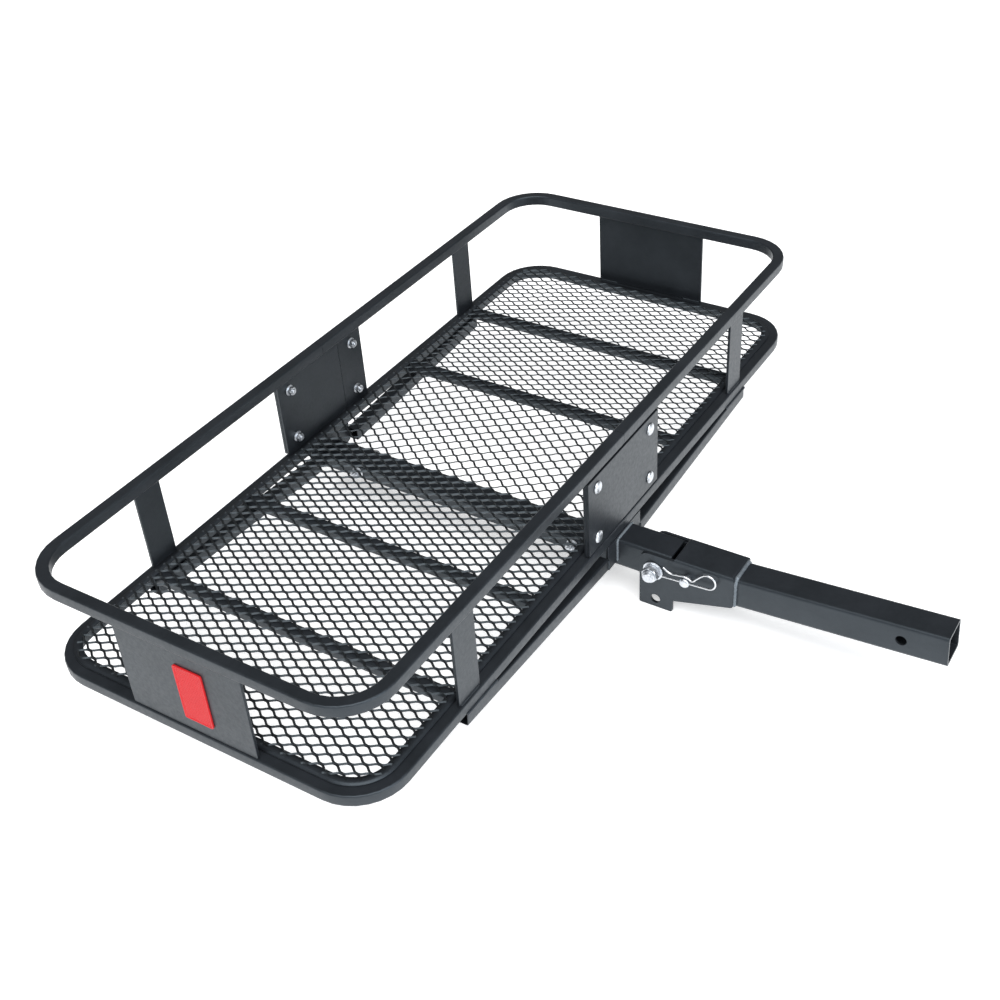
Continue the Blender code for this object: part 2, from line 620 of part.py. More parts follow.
def build_sides(deck, steel, zinc, red):
    """The uprights, end plates, splice plates with their bolts, and the reflectors."""
    height = DECK_RISE - 2 * GAP
    middle = BASKET_HEIGHT / 2
    splice_height = DECK_RISE - 2 * SPLICE_CLEARANCE
    grip = 2 * PLATE + 3 * GAP + SPLICE_NUT_HEIGHT + SPLICE_BOLT_END
    for end in (-1, 1):
        end_name = side_name(end, "front", "rear")
        upright_y = end * (HALF_WIDTH - UPRIGHT_INSET - PLATE / 2)
        for side in (-1, 1):
            x = side * (UPRIGHT_FAR if side == end else UPRIGHT_NEAR)
            name = f"upright_{end_name}_{side_name(side, 'left', 'right')}"
            piece(name, box((UPRIGHT_WIDTH, PLATE, height)), steel, deck, (x, upright_y, middle))

        splice_y = end * (HALF_WIDTH - PLATE / 2)
        inner_y = end * (HALF_WIDTH - PLATE - GAP - PLATE / 2)
        places = [(side * BOLT_SPREAD, 0, z) for side in (-1, 1) for z in BOLT_LEVELS]
        splice = box((SPLICE_WIDTH, PLATE, splice_height))
        splice = piece(f"splice_plate_{end_name}", splice, steel, deck, (0, splice_y, middle))
        through = [Vector((x, splice_y, z)) for x, _, z in places]
        cut(splice, f"splice_cut_{end_name}", drills(through, SPLICE_BOLT + 2 * GAP, 4 * PLATE, "Y"))
        seam = end * HALF_PLATE_SEAM
        for side in (-1, 1):
            outer_edge = side * SPLICE_WIDTH / 2
            inner_edge = seam + side * GAP / 2
            width = abs(outer_edge - inner_edge)
            half_name = f"{end_name}_{side_name(side, 'left', 'right')}"
            half_plate = box((width, PLATE, height))
            half_place = ((outer_edge + inner_edge) / 2, inner_y, middle)
            half_plate = piece(f"half_plate_{half_name}", half_plate, steel, deck, half_place)
            own = [Vector((x, inner_y, z)) for x, _, z in places if x * side > 0]
            holes = drills(own, SPLICE_BOLT + 2 * GAP, 4 * PLATE, "Y")
            cut(half_plate, f"half_plate_cut_{half_name}", holes)
        for number, (x, _, z) in enumerate(places, start=1):
            dome = [(0, -grip), (SPLICE_BOLT / 2, -grip), (SPLICE_BOLT / 2, 0), (SPLICE_HEAD / 2, 0)]
            for step in range(1, 5):
                turn = math.pi / 2 * step / 5
                dome.append((SPLICE_HEAD / 2 * math.cos(turn), SPLICE_HEAD_HEIGHT * math.sin(turn)))
            dome.append((0, SPLICE_HEAD_HEIGHT))
            head_place = (x, end * (HALF_WIDTH + GAP), z)
            piece(f"carriage_bolt_{end_name}_{number}", turned(dome, 12), zinc, deck, head_place, (0, end, 0))
            nut_place = (x, end * (HALF_WIDTH - 2 * PLATE - 2 * GAP), z)
            flange_nut = nut(SPLICE_NUT_FLATS, SPLICE_NUT_HEIGHT, SPLICE_BOLT, SPLICE_NUT_FLANGE)
            piece(f"flange_nut_{end_name}_{number}", flange_nut, zinc, deck, nut_place, (0, -end, 0))

    for side in (-1, 1):
        half_name = side_name(side, "left", "right")
        x = side * (HALF_LENGTH - END_PLATE_INSET - PLATE / 2)
        piece(f"end_plate_{half_name}", box((PLATE, END_PLATE_WIDTH, height)), steel, deck, (x, 0, middle))
        lens = prism(rectangle(REFLECTOR_WIDTH, REFLECTOR_HEIGHT, REFLECTOR_CORNER), REFLECTOR_THICKNESS)
        x = side * (HALF_LENGTH - END_PLATE_INSET + GAP + REFLECTOR_THICKNESS / 2)
        place = (x, -side * REFLECTOR_OFFSET, middle)
        piece(f"reflector_{half_name}", lens, red, deck, place, (side, 0, 0))


def main():
    """Clears the scene and builds the carrier."""
    for old in list(bpy.data.objects):
        bpy.data.objects.remove(old, do_unlink=True)
    steel = finish("black_powder_coat", (0.032, 0.032, 0.034), 0.38, 0.0)
    sheet_steel = finish("black_coated_mesh", (0.030, 0.030, 0.031), 0.45, 0.0)
    zinc = finish("zinc_plate", (0.60, 0.60, 0.60), 0.30, 1.0)
    wire = finish("spring_wire", (0.50, 0.50, 0.50), 0.28, 1.0)
    red = finish("red_reflector", (0.75, 0.03, 0.03), 0.22, 0.0)

    shank = empty("shank_axis", tilt=-SHANK_PITCH)
    turn = Matrix.Rotation(-SHANK_PITCH, 4, "X")
    pivot = turn @ Vector((0, PIVOT_BEHIND_PIN, PIVOT_ABOVE_SHANK))
    level = empty("pivot_axis", None, pivot)
    lock = empty("lock_axis", level, (0, *LOCK_PLACE), -SHANK_PITCH)
    fold = empty("fold_axis", None, pivot)
    deck = empty("deck_datum", fold, (0, CENTRE_BEHIND_PIVOT, DECK_ABOVE_PIVOT))

    build_shank(shank, level, steel, zinc)
    build_lock(lock, zinc, wire)
    build_stub(fold, steel)
    build_under_deck(deck, steel, zinc)
    build_deck(deck, steel, sheet_steel)
    build_sides(deck, steel, zinc, red)


main()
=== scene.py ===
"""Looks of the hitch cargo carrier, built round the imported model.

Every steel part is a finished copy of its solid with rolled edges, and the deck is real expanded metal.
Welds, fasteners, the spring clip and the reflectors are made here. Metres, +Z up, in the model's frame.
"""

import json
import logging
import math
from dataclasses import dataclass
from enum import Enum
from typing import Any, Optional

import bmesh
import bpy
from mathutils import Matrix, Vector


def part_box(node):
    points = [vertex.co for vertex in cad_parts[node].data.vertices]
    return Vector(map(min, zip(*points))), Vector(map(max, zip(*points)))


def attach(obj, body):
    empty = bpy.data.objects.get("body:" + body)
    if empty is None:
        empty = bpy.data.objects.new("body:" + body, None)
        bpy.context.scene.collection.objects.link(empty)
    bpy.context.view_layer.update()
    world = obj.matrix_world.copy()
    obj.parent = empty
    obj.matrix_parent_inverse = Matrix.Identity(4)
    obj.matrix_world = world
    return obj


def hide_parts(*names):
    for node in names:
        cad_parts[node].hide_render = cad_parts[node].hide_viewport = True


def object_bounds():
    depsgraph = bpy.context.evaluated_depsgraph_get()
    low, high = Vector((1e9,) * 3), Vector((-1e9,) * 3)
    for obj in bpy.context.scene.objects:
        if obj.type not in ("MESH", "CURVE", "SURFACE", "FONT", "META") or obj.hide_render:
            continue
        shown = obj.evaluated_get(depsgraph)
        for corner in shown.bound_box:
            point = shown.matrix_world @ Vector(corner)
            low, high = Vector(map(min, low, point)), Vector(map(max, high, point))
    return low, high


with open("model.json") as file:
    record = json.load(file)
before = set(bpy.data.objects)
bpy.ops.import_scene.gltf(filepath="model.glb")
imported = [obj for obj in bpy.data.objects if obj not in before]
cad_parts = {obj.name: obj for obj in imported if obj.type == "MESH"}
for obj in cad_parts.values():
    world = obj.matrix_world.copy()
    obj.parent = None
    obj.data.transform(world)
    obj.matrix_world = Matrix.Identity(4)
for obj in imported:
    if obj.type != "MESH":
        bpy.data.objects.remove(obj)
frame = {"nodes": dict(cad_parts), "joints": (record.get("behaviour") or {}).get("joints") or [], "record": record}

CAD_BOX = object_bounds()
LOG = logging.getLogger("cargo_carrier")

Points = list[Vector]
Colour = tuple[float, float, float]
Profile = list[tuple[float, float]]


class Body(Enum):
    """The rigid bodies of the model."""

    SHANK = "shank"
    CARRIER = "carrier"
    LOCK_PIN = "lock_pin"
    PIN_CLIP = "pin_clip"


class Slot(Enum):
    """The record's material slots."""

    COAT = "black_powder_coat"
    MESH = "black_coated_mesh"
    ZINC = "zinc_plate"
    WIRE = "spring_wire"
    REFLECTOR = "red_reflector"


# ---------------------------------------------------------------- finishes


class Shader:
    """A material's node tree, with the Principled shader at hand."""

    def __init__(self, name: str) -> None:
        """Makes an empty material.

        Args:
            name: the material's name.
        """
        self.material = bpy.data.materials.new(name)
        self.material.use_nodes = True
        self.tree = self.material.node_tree
        self.surface = self.tree.nodes["Principled BSDF"]
        self.place = self.tree.nodes.new("ShaderNodeTexCoord").outputs["Object"]

    def set(self, **values: Any) -> None:
        """Sets sockets of the shader, named with underscores for spaces."""
        for name, value in values.items():
            self.surface.inputs[name.replace("_", " ")].default_value = value

    def noise(self, scale: float, detail: float = 2.0, roughness: float = 0.5) -> Any:
        """Noise over the piece.

        Args:
            scale: grains to the metre.
            detail: octaves of finer grain.
            roughness: how strong the finer grain is.

        Returns:
            The noise's value socket.
        """
        node = self.tree.nodes.new("ShaderNodeTexNoise")
        node.inputs["Scale"].default_value = scale
        node.inputs["Detail"].default_value = detail
        node.inputs["Roughness"].default_value = roughness
        self.tree.links.new(self.place, node.inputs["Vector"])
        return node.outputs["Fac"]

    def ramp(self, source: Any, low: float, high: float, start: float, end: float) -> Any:
        """Maps a value's range to another.

        Args:
            source: the value's socket.
            low: the start of its range.
            high: the end of its range.
            start: what low becomes.
            end: what high becomes.

        Returns:
            The new value's socket.
        """
        node = self.tree.nodes.new("ShaderNodeMapRange")
        for name, value in (("From Min", low), ("From Max", high), ("To Min", start), ("To Max", end)):
            node.inputs[name].default_value = value
        self.tree.links.new(source, node.inputs["Value"])
        return node.outputs["Result"]

    def blend(self, factor: Any, first: Colour, second: Colour) -> Any:
        """Mixes two colours.

        Args:
            factor: the socket with the second colour's share.
            first: the colour at 0.
            second: the colour at 1.

        Returns:
            The colour's socket.
        """
        node = self.tree.nodes.new("ShaderNodeMix")
        node.data_type = "RGBA"
        node.inputs[6].default_value = (*first, 1)
        node.inputs[7].default_value = (*second, 1)
        self.tree.links.new(factor, node.inputs["Factor"])
        return node.outputs[2]

    def bump(self, height: Any, distance: float, strength: float = 1.0, under: Optional[Any] = None) -> Any:
        """Adds a bump.

        Args:
            height: the height socket, 0 to 1.
            distance: how deep the relief is, in metres.
            strength: how much of it shows.
            under: the normal of a coarser bump below this one.

        Returns:
            The normal socket.
        """
        node = self.tree.nodes.new("ShaderNodeBump")
        node.inputs["Distance"].default_value = distance
        node.inputs["Strength"].default_value = strength
        self.tree.links.new(height, node.inputs["Height"])
        if under is not None:
            self.tree.links.new(under, node.inputs["Normal"])
        return node.outputs["Normal"]

    def link(self, source: Any, name: str) -> None:
        """Feeds a socket of the shader."""
        self.tree.links.new(source, self.surface.inputs[name])


@dataclass(frozen=True)
class PowderCoat:
    """Black powder coat: soft orange peel, a little uneven in gloss, dusted a shade lighter in places."""

    name: str
    colour: Colour = (0.0092, 0.0104, 0.0124)
    dusted: Colour = (0.0160, 0.0178, 0.0212)
    roughness: tuple[float, float] = (0.34, 0.46)
    sheen: Colour = (0.75, 0.89, 1.0)
    peel_scale: float = 620.0
    peel_depth: float = 0.00022
    cloud_scale: float = 14.0
    grain_scale: float = 180.0

    def build(self) -> bpy.types.Material:
        """Builds the finish's nodes.

        Returns:
            The material.
        """
        shader = Shader(self.name)
        cloud = shader.noise(self.cloud_scale, 4.0, 0.6)
        grain = shader.noise(self.grain_scale, 3.0)
        peel = shader.noise(self.peel_scale, 1.0)
        dust = shader.ramp(cloud, 0.35, 0.7, 0, 1)
        shader.link(shader.blend(dust, self.colour, self.dusted), "Base Color")
        shader.link(shader.ramp(grain, 0.3, 0.7, *self.roughness), "Roughness")
        coarse = shader.bump(grain, self.peel_depth, 0.25)
        shader.link(shader.bump(peel, self.peel_depth, 0.5, coarse), "Normal")
        shader.set(Specular_IOR_Level=0.55, Specular_Tint=(*self.sheen, 1))
        return shader.material


@dataclass(frozen=True)
class Zinc:
    """Bright zinc plate on steel, faintly blue and cloudy."""

    name: str
    colour: Colour = (0.68, 0.71, 0.75)
    clouded: Colour = (0.55, 0.57, 0.60)
    roughness: tuple[float, float] = (0.30, 0.46)
    cloud_scale: float = 260.0
    grain_scale: float = 1500.0
    grain_depth: float = 0.00004

    def build(self) -> bpy.types.Material:
        """Builds the finish's nodes.

        Returns:
            The material.
        """
        shader = Shader(self.name)
        cloud = shader.noise(self.cloud_scale, 3.0, 0.6)
        spangle = shader.ramp(cloud, 0.35, 0.65, 0, 1)
        shader.link(shader.blend(spangle, self.colour, self.clouded), "Base Color")
        shader.link(shader.ramp(cloud, 0.3, 0.7, *self.roughness), "Roughness")
        shader.link(shader.bump(shader.noise(self.grain_scale), self.grain_depth, 0.5), "Normal")
        shader.set(Metallic=1.0)
        return shader.material


@dataclass(frozen=True)
class ReflectorLens:
    """Clear red moulded plastic over prisms, with a faint painted red glow of its own."""

    name: str
    colour: Colour = (0.60, 0.024, 0.028)
    deep: Colour = (0.47, 0.012, 0.016)
    cloud_scale: float = 900.0
    # Painted glow: the lens gives off a little red light, though it is no lamp.
    glow: float = 0.07
    painted_glow_colour: Colour = (0.9, 0.05, 0.05)

    def build(self) -> bpy.types.Material:
        """Builds the finish's nodes.

        Returns:
            The material.
        """
        shader = Shader(self.name)
        cloud = shader.ramp(shader.noise(self.cloud_scale, 1.0), 0.3, 0.7, 0, 1)
        shader.link(shader.blend(cloud, self.colour, self.deep), "Base Color")
        shader.set(Roughness=0.34, Specular_IOR_Level=0.14, Coat_Weight=0.06, Coat_Roughness=0.1)
        shader.set(Emission_Color=(*self.painted_glow_colour, 1), Emission_Strength=self.glow)
        return shader.material


@dataclass(frozen=True)
class StudioFloor:
    """Plain pale floor paper, which glows a little so that it stays white."""

    name: str
    colour: Colour = (0.90, 0.90, 0.90)
    glow: float = 0.50
    mottle: float = 0.985
    mottle_scale: float = 3.0

    def build(self) -> bpy.types.Material:
        """Builds the finish's nodes.

        Returns:
            The material.
        """
        shader = Shader(self.name)
        cloud = shader.noise(self.mottle_scale)
        tone = tuple(self.mottle * part for part in self.colour)
        shader.link(shader.blend(cloud, self.colour, tone), "Base Color")
        shader.set(Roughness=0.9, Specular_IOR_Level=0.1)
        shader.set(Emission_Color=(1.0, 1.0, 1.0, 1), Emission_Strength=self.glow)
        return shader.material


@dataclass(frozen=True)
class Finishes:
    """Every material of the object."""

    coat: bpy.types.Material
    weld: bpy.types.Material
    mesh: bpy.types.Material
    zinc: bpy.types.Material
    wire: bpy.types.Material
    lens: bpy.types.Material

    @classmethod
    def make(cls) -> "Finishes":
        """Builds the materials.

        Returns:
            All of them.
        """
        # The weld coat is some ten times lighter than the frame's black coat: a grey-blue painted highlight on
        # beads that really wear the same black coat.
        weld = PowderCoat("coated_weld", (0.085, 0.098, 0.112), (0.150, 0.168, 0.185), (0.22, 0.32))
        mesh = PowderCoat("coated_mesh", (0.0085, 0.0090, 0.0095), (0.0135, 0.0140, 0.0150))
        return cls(
            coat=PowderCoat("powder_coat").build(),
            weld=weld.build(),
            mesh=mesh.build(),
            zinc=Zinc("bright_zinc").build(),
            wire=Zinc("spring_steel", colour=(0.70, 0.70, 0.71), roughness=(0.18, 0.3)).build(),
            lens=ReflectorLens("reflector_red").build(),
        )


# ---------------------------------------------------------------- making pieces


def new_object(name: str, mesh: bpy.types.Mesh) -> bpy.types.Object:
    """Links a mesh to the scene as an object at the origin.

    Args:
        name: the object's name.
        mesh: its mesh.

    Returns:
        The object.
    """
    made = bpy.data.objects.new(name, mesh)
    bpy.context.scene.collection.objects.link(made)
    return made


def mesh_of(name: str, shape: bmesh.types.BMesh, smooth_below: float) -> bpy.types.Mesh:
    """Turns a shape into a mesh with its faces pointing out.

    Args:
        name: the mesh's name.
        shape: what it is made from; it is freed.
        smooth_below: the angle in degrees from which an edge is sharp.

    Returns:
        The shaded mesh.
    """
    bmesh.ops.recalc_face_normals(shape, faces=shape.faces)
    mesh = bpy.data.meshes.new(name)
    shape.to_mesh(mesh)
    shape.free()
    mesh.shade_smooth()
    mesh.set_sharp_from_angle(angle=math.radians(smooth_below))
    return mesh


def applied(piece: bpy.types.Object) -> bpy.types.Object:
    """Turns a piece's modifiers into its plain mesh.

    Args:
        piece: the piece, with modifiers.

    Returns:
        The same piece, without them.
    """
    graph = bpy.context.evaluated_depsgraph_get()
    mesh = bpy.data.meshes.new_from_object(piece.evaluated_get(graph))
    old = piece.data
    piece.modifiers.clear()
    piece.data = mesh
    if isinstance(old, bpy.types.Mesh):
        bpy.data.meshes.remove(old)
    return piece


def place(
    piece: bpy.types.Object, body: Body, slot: Slot, material: bpy.types.Material, *nodes: str
) -> None:
    """Dresses a finished piece, rides it on its body and lets it stand for nodes.

    Args:
        piece: the piece, at the origin.
        body: what it moves with.
        slot: the record's slot for its finish; not used.
        material: what it wears.
        *nodes: the solids it stands for.
    """
    piece.data.materials.clear()
    piece.data.materials.append(material)
    if nodes:
        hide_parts(*nodes)
    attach(piece, body.value)
    LOG.info("%s: %d faces, on %s", piece.name, len(piece.data.polygons), body.value)


def middle_of(node: str) -> Vector:
    """The middle of a solid's box."""
    low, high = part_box(node)
    return (low + high) / 2


def revolve(profile: Profile, sides: int) -> bmesh.types.BMesh:
    """A solid turned about Z.

    Args:
        profile: (radius, z) points from axis to axis, or a closed ring of them clear of the axis.
        sides: facets round it.

    Returns:
        The turned shape.
    """
    shape = bmesh.new()
    points = [shape.verts.new((radius, 0, z)) for radius, z in profile]
    closed = profile[0][0] > 0
    pairs = zip(points, points[1:] + points[:1]) if closed else zip(points, points[1:])
    edges = [shape.edges.new(pair) for pair in pairs]
    bmesh.ops.spin(shape, geom=points + edges, axis=(0, 0, 1), angle=math.tau, steps=sides, use_merge=True)
    bmesh.ops.remove_doubles(shape, verts=shape.verts, dist=1e-6)
    return shape


class Tree:
    """A Geometry Nodes tree with named inputs, which makes one plain mesh."""

    def __init__(self, name: str, material: bpy.types.Material) -> None:
        """Starts an empty tree.

        Args:
            name: the tree's name.
            material: what its result wears.
        """
        self.group = bpy.data.node_groups.new(name, "GeometryNodeTree")
        for way in ("INPUT", "OUTPUT"):
            self.group.interface.new_socket("Geometry", in_out=way, socket_type="NodeSocketGeometry")
        self.entry = self.group.nodes.new("NodeGroupInput")
        self.exit = self.group.nodes.new("NodeGroupOutput")
        self.material = material

    def value(self, name: str, kind: str = "NodeSocketFloat") -> Any:
        """Adds a named input and returns its socket."""
        self.group.interface.new_socket(name, in_out="INPUT", socket_type=kind)
        return self.entry.outputs[name]

    def node(self, kind: str, inputs: Optional[dict[Any, Any]] = None, **settings: Any) -> Any:
        """Adds a node.

        Args:
            kind: the node's type, without its GeometryNode prefix where it has that one.
            inputs: socket name or number to a socket that feeds it, or to its value.
            **settings: the node's own properties.

        Returns:
            The node.
        """
        full = kind if kind.startswith(("ShaderNode", "FunctionNode")) else "GeometryNode" + kind
        made = self.group.nodes.new(full)
        for name, value in settings.items():
            setattr(made, name, value)
        for name, value in (inputs or {}).items():
            if isinstance(value, bpy.types.NodeSocket):
                self.group.links.new(value, made.inputs[name])
            else:
                made.inputs[name].default_value = value
        return made

    def maths(self, operation: str, *values: Any) -> Any:
        """One arithmetic step on sockets or numbers, as a socket."""
        made = self.node("ShaderNodeMath", dict(enumerate(values)), operation=operation)
        return made.outputs[0]

    def finish(self, geometry: Any) -> None:
        """Ends the tree in Realize Instances and Set Material.

        Args:
            geometry: the result's socket.
        """
        real = self.node("RealizeInstances", {"Geometry": geometry})
        dressed = self.node("SetMaterial", {"Geometry": real.outputs[0], "Material": self.material})
        self.group.links.new(dressed.outputs[0], self.exit.inputs[0])

    def make(self, name: str, base: bpy.types.Mesh, values: dict[str, Any]) -> bpy.types.Object:
        """Runs the tree on a mesh.

        Args:
            name: the piece's name.
            base: the mesh that the tree starts from.
            values: the named inputs.

        Returns:
            The piece, a plain mesh with no modifier.
        """
        piece = new_object(name, base)
        modifier = piece.modifiers.new(self.group.name, "NODES")
        modifier.node_group = self.group
        for item in self.group.interface.items_tree:
            if item.in_out == "INPUT" and item.name in values:
                modifier[item.identifier] = values[item.name]
        return applied(piece)


# ---------------------------------------------------------------- coated steel


@dataclass
class CoatedSteel:
    """The tubes, bars and plates: each solid with its edges rolled and its bends smooth."""

    finishes: Finishes
    plate_edge: float = 0.0006
    tube_edge: float = 0.0003
    edge_segments: int = 2
    sharp_from: float = 50.0
    flat_below: float = 0.6
    merge_below: float = 2e-6
    bend: float = 0.0058
    bend_segments: int = 6
    at_edge: float = 1e-4
    plates: tuple[str, ...] = ("fold_bracket", "gusset", "upright", "plate")

    def finish_node(self, node: str, body: Body) -> None:
        """Makes the finished copy of one solid.

        Args:
            node: the solid's name.
            body: what it moves with.
        """
        shape = bmesh.new()
        shape.from_mesh(frame["nodes"][node].data)
        bmesh.ops.remove_doubles(shape, verts=shape.verts, dist=self.merge_below)
        flat = math.radians(self.flat_below)
        bmesh.ops.dissolve_limit(shape, angle_limit=flat, verts=shape.verts, edges=shape.edges)
        if node == "fold_bracket":
            self.bend_top(shape)
        mesh = bpy.data.meshes.new(node + "_steel")
        shape.to_mesh(mesh)
        shape.free()
        piece = new_object(node + "_steel", mesh)
        bevel = piece.modifiers.new("rolled_edge", "BEVEL")
        bevel.width = self.plate_edge if any(word in node for word in self.plates) else self.tube_edge
        bevel.segments = self.edge_segments
        bevel.limit_method = "ANGLE"
        bevel.angle_limit = math.radians(self.sharp_from)
        bevel.use_clamp_overlap = True
        applied(piece)
        piece.data.shade_smooth()
        piece.data.set_sharp_from_angle(angle=math.radians(self.sharp_from))
        weighted = piece.modifiers.new("flat_faces_stay_flat", "WEIGHTED_NORMAL")
        weighted.keep_sharp = True
        applied(piece)
        place(piece, body, Slot.COAT, self.finishes.coat, node)

    def bend_top(self, shape: bmesh.types.BMesh) -> None:
        """Rounds the two long edges where the bracket's plate is bent down from its top.

        Args:
            shape: the bracket, which is changed.
        """
        _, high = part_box("fold_bracket")
        edges = []
        for edge in shape.edges:
            level = all(high.z - point.co.z < self.at_edge for point in edge.verts)
            outer = all(abs(abs(point.co.x) - high.x) < self.at_edge for point in edge.verts)
            if level and outer:
                edges.append(edge)
        count = self.bend_segments
        bmesh.ops.bevel(shape, geom=edges, offset=self.bend, segments=count, profile=0.5, affect="EDGES")

    def build(self) -> None:
        """Finishes every solid that wears the powder coat."""
        slots = {row["node"]: row["material_slot"] for row in frame["record"]["subparts"]}
        members = frame["record"]["behaviour"]["bodies"]
        bodies = {node: name for name, nodes in members.items() for node in nodes}
        for node in sorted(frame["nodes"]):
            if slots[node] == Slot.COAT.value:
                self.finish_node(node, Body(bodies[node]))


# ---------------------------------------------------------------- deck


@dataclass
class ExpandedMetal:
    """The deck's two sheets of raised expanded metal, cut to the base rail's outline."""

    finishes: Finishes
    short_pitch: float = 0.0177
    long_pitch: float = 0.0336
    strand_width: float = 0.0030
    strand_thickness: float = 0.0018
    lean: float = math.radians(38)
    bond: float = 1.22  # above 1 the joints between strands are long
    knuckle_overlap: float = 0.35  # of the strand's thickness, at each joint
    first_strand: float = 0.3  # of the short pitch, from the seam
    samples: int = 12
    stretched_length: float = 0.173
    stretch: float = 0.057
    corner: float = 0.057
    short_of_edge: float = 0.0125
    rear_gain: float = 0.007  # by which the strands reach further at the rear

    def tree(self) -> Tree:
        """Builds the tree that lays the strands.

        Returns:
            The tree.
        """
        tree = Tree("expanded_metal", self.finishes.mesh)
        length, width, level = map(tree.value, ("Length", "Width", "Level"))
        seam, side, centre = map(tree.value, ("Seam", "Side", "Centre"))
        half_length, half_width = map(tree.value, ("Half Length", "Half Width"))
        outline_centre, corner = map(tree.value, ("Outline Centre", "Corner Radius"))
        short, long, bond = map(tree.value, ("Short Pitch", "Long Pitch", "Bond"))
        strand_width, thickness, lean = map(tree.value, ("Strand Width", "Strand Thickness", "Lean"))
        stretch, stretched = map(tree.value, ("Stretch", "Stretched Length"))
        rows, steps = (tree.value(name, "NodeSocketInt") for name in ("Rows", "Steps"))

        grid = tree.node(
            "MeshGrid", {"Size X": length, "Size Y": width, "Vertices X": rows, "Vertices Y": steps}
        ).outputs["Mesh"]
        ends = tree.node("InputMeshEdgeVertices")
        first = tree.node("ShaderNodeSeparateXYZ", {0: ends.outputs["Position 1"]}).outputs[0]
        second = tree.node("ShaderNodeSeparateXYZ", {0: ends.outputs["Position 2"]}).outputs[0]
        gap = tree.maths("ABSOLUTE", tree.maths("SUBTRACT", first, second))
        across = tree.maths("GREATER_THAN", gap, 1e-4)
        lines = tree.node(
            "DeleteGeometry", {"Geometry": grid, "Selection": across}, domain="EDGE", mode="EDGE_FACE"
        ).outputs[0]

        spot = tree.node("ShaderNodeSeparateXYZ", {0: tree.node("InputPosition").outputs[0]})
        along = tree.maths("ADD", spot.outputs[0], tree.maths("MULTIPLY", length, 0.5))
        row = tree.maths("ROUND", tree.maths("DIVIDE", along, tree.maths("MULTIPLY", short, 0.5)))
        odd = tree.maths("MODULO", row, 2.0)
        shift = tree.maths("MULTIPLY", odd, 0.5)
        phase = tree.maths("ADD", tree.maths("DIVIDE", spot.outputs[1], long), shift)
        swing = tree.maths("SUBTRACT", tree.maths("PINGPONG", tree.maths("MULTIPLY", phase, 2.0), 1.0), 0.5)
        raised = tree.maths("MULTIPLY", tree.maths("MULTIPLY", swing, 2.0), bond)
        held = tree.maths("MAXIMUM", tree.maths("MINIMUM", raised, 1.0), -1.0)
        wave = tree.maths("SINE", tree.maths("MULTIPLY", held, math.pi / 2))
        overlap = tree.maths("MULTIPLY", thickness, self.knuckle_overlap)
        reach = tree.maths("SUBTRACT", tree.maths("MULTIPLY", short, 0.25), overlap)
        offset = tree.maths("MULTIPLY", wave, reach)
        start = tree.maths("MULTIPLY", short, self.first_strand)
        run = tree.maths("ADD", tree.maths("ADD", along, offset), start)
        share = tree.maths("MINIMUM", tree.maths("DIVIDE", run, stretched), 1.0)
        pulled = tree.maths("ADD", run, tree.maths("MULTIPLY", share, stretch))
        x = tree.maths("ADD", seam, tree.maths("MULTIPLY", side, pulled))
        y = tree.maths("ADD", centre, spot.outputs[1])
        spot_out = tree.node("ShaderNodeCombineXYZ", {0: x, 1: y, 2: level}).outputs[0]
        laid = tree.node("SetPosition", {"Geometry": lines, "Position": spot_out}).outputs[0]

        there = tree.node("ShaderNodeSeparateXYZ", {0: tree.node("InputPosition").outputs[0]})
        past_x = self._past(tree, there.outputs[0], half_length, corner)
        local_y = tree.maths("SUBTRACT", there.outputs[1], outline_centre)
        past_y = self._past(tree, local_y, half_width, corner)
        square_x = tree.maths("MULTIPLY", past_x, past_x)
        square_y = tree.maths("MULTIPLY", past_y, past_y)
        past = tree.maths("SQRT", tree.maths("ADD", square_x, square_y))
        outside = tree.maths("GREATER_THAN", past, corner)
        kept = tree.node(
            "DeleteGeometry", {"Geometry": laid, "Selection": outside}, domain="POINT"
        ).outputs[0]

        strands = tree.node("MeshToCurve", {"Mesh": kept}).outputs[0]
        level_curve = tree.node("SetCurveNormal", {"Curve": strands}, mode="Z_UP").outputs[0]
        leaning = tree.node("SetCurveTilt", {"Curve": level_curve, "Tilt": lean}).outputs[0]
        section = tree.node(
            "CurvePrimitiveQuadrilateral", {"Width": strand_width, "Height": thickness}, mode="RECTANGLE"
        ).outputs[0]
        solid = tree.node(
            "CurveToMesh", {"Curve": leaning, "Profile Curve": section, "Fill Caps": True}
        ).outputs[0]
        tree.finish(solid)
        return tree

    @staticmethod
    def _past(tree: Tree, value: Any, half: Any, corner: Any) -> Any:
        """How far a place lies past the straight stretch of an outline's side, as a socket."""
        straight = tree.maths("SUBTRACT", half, corner)
        return tree.maths("MAXIMUM", tree.maths("SUBTRACT", tree.maths("ABSOLUTE", value), straight), 0.0)

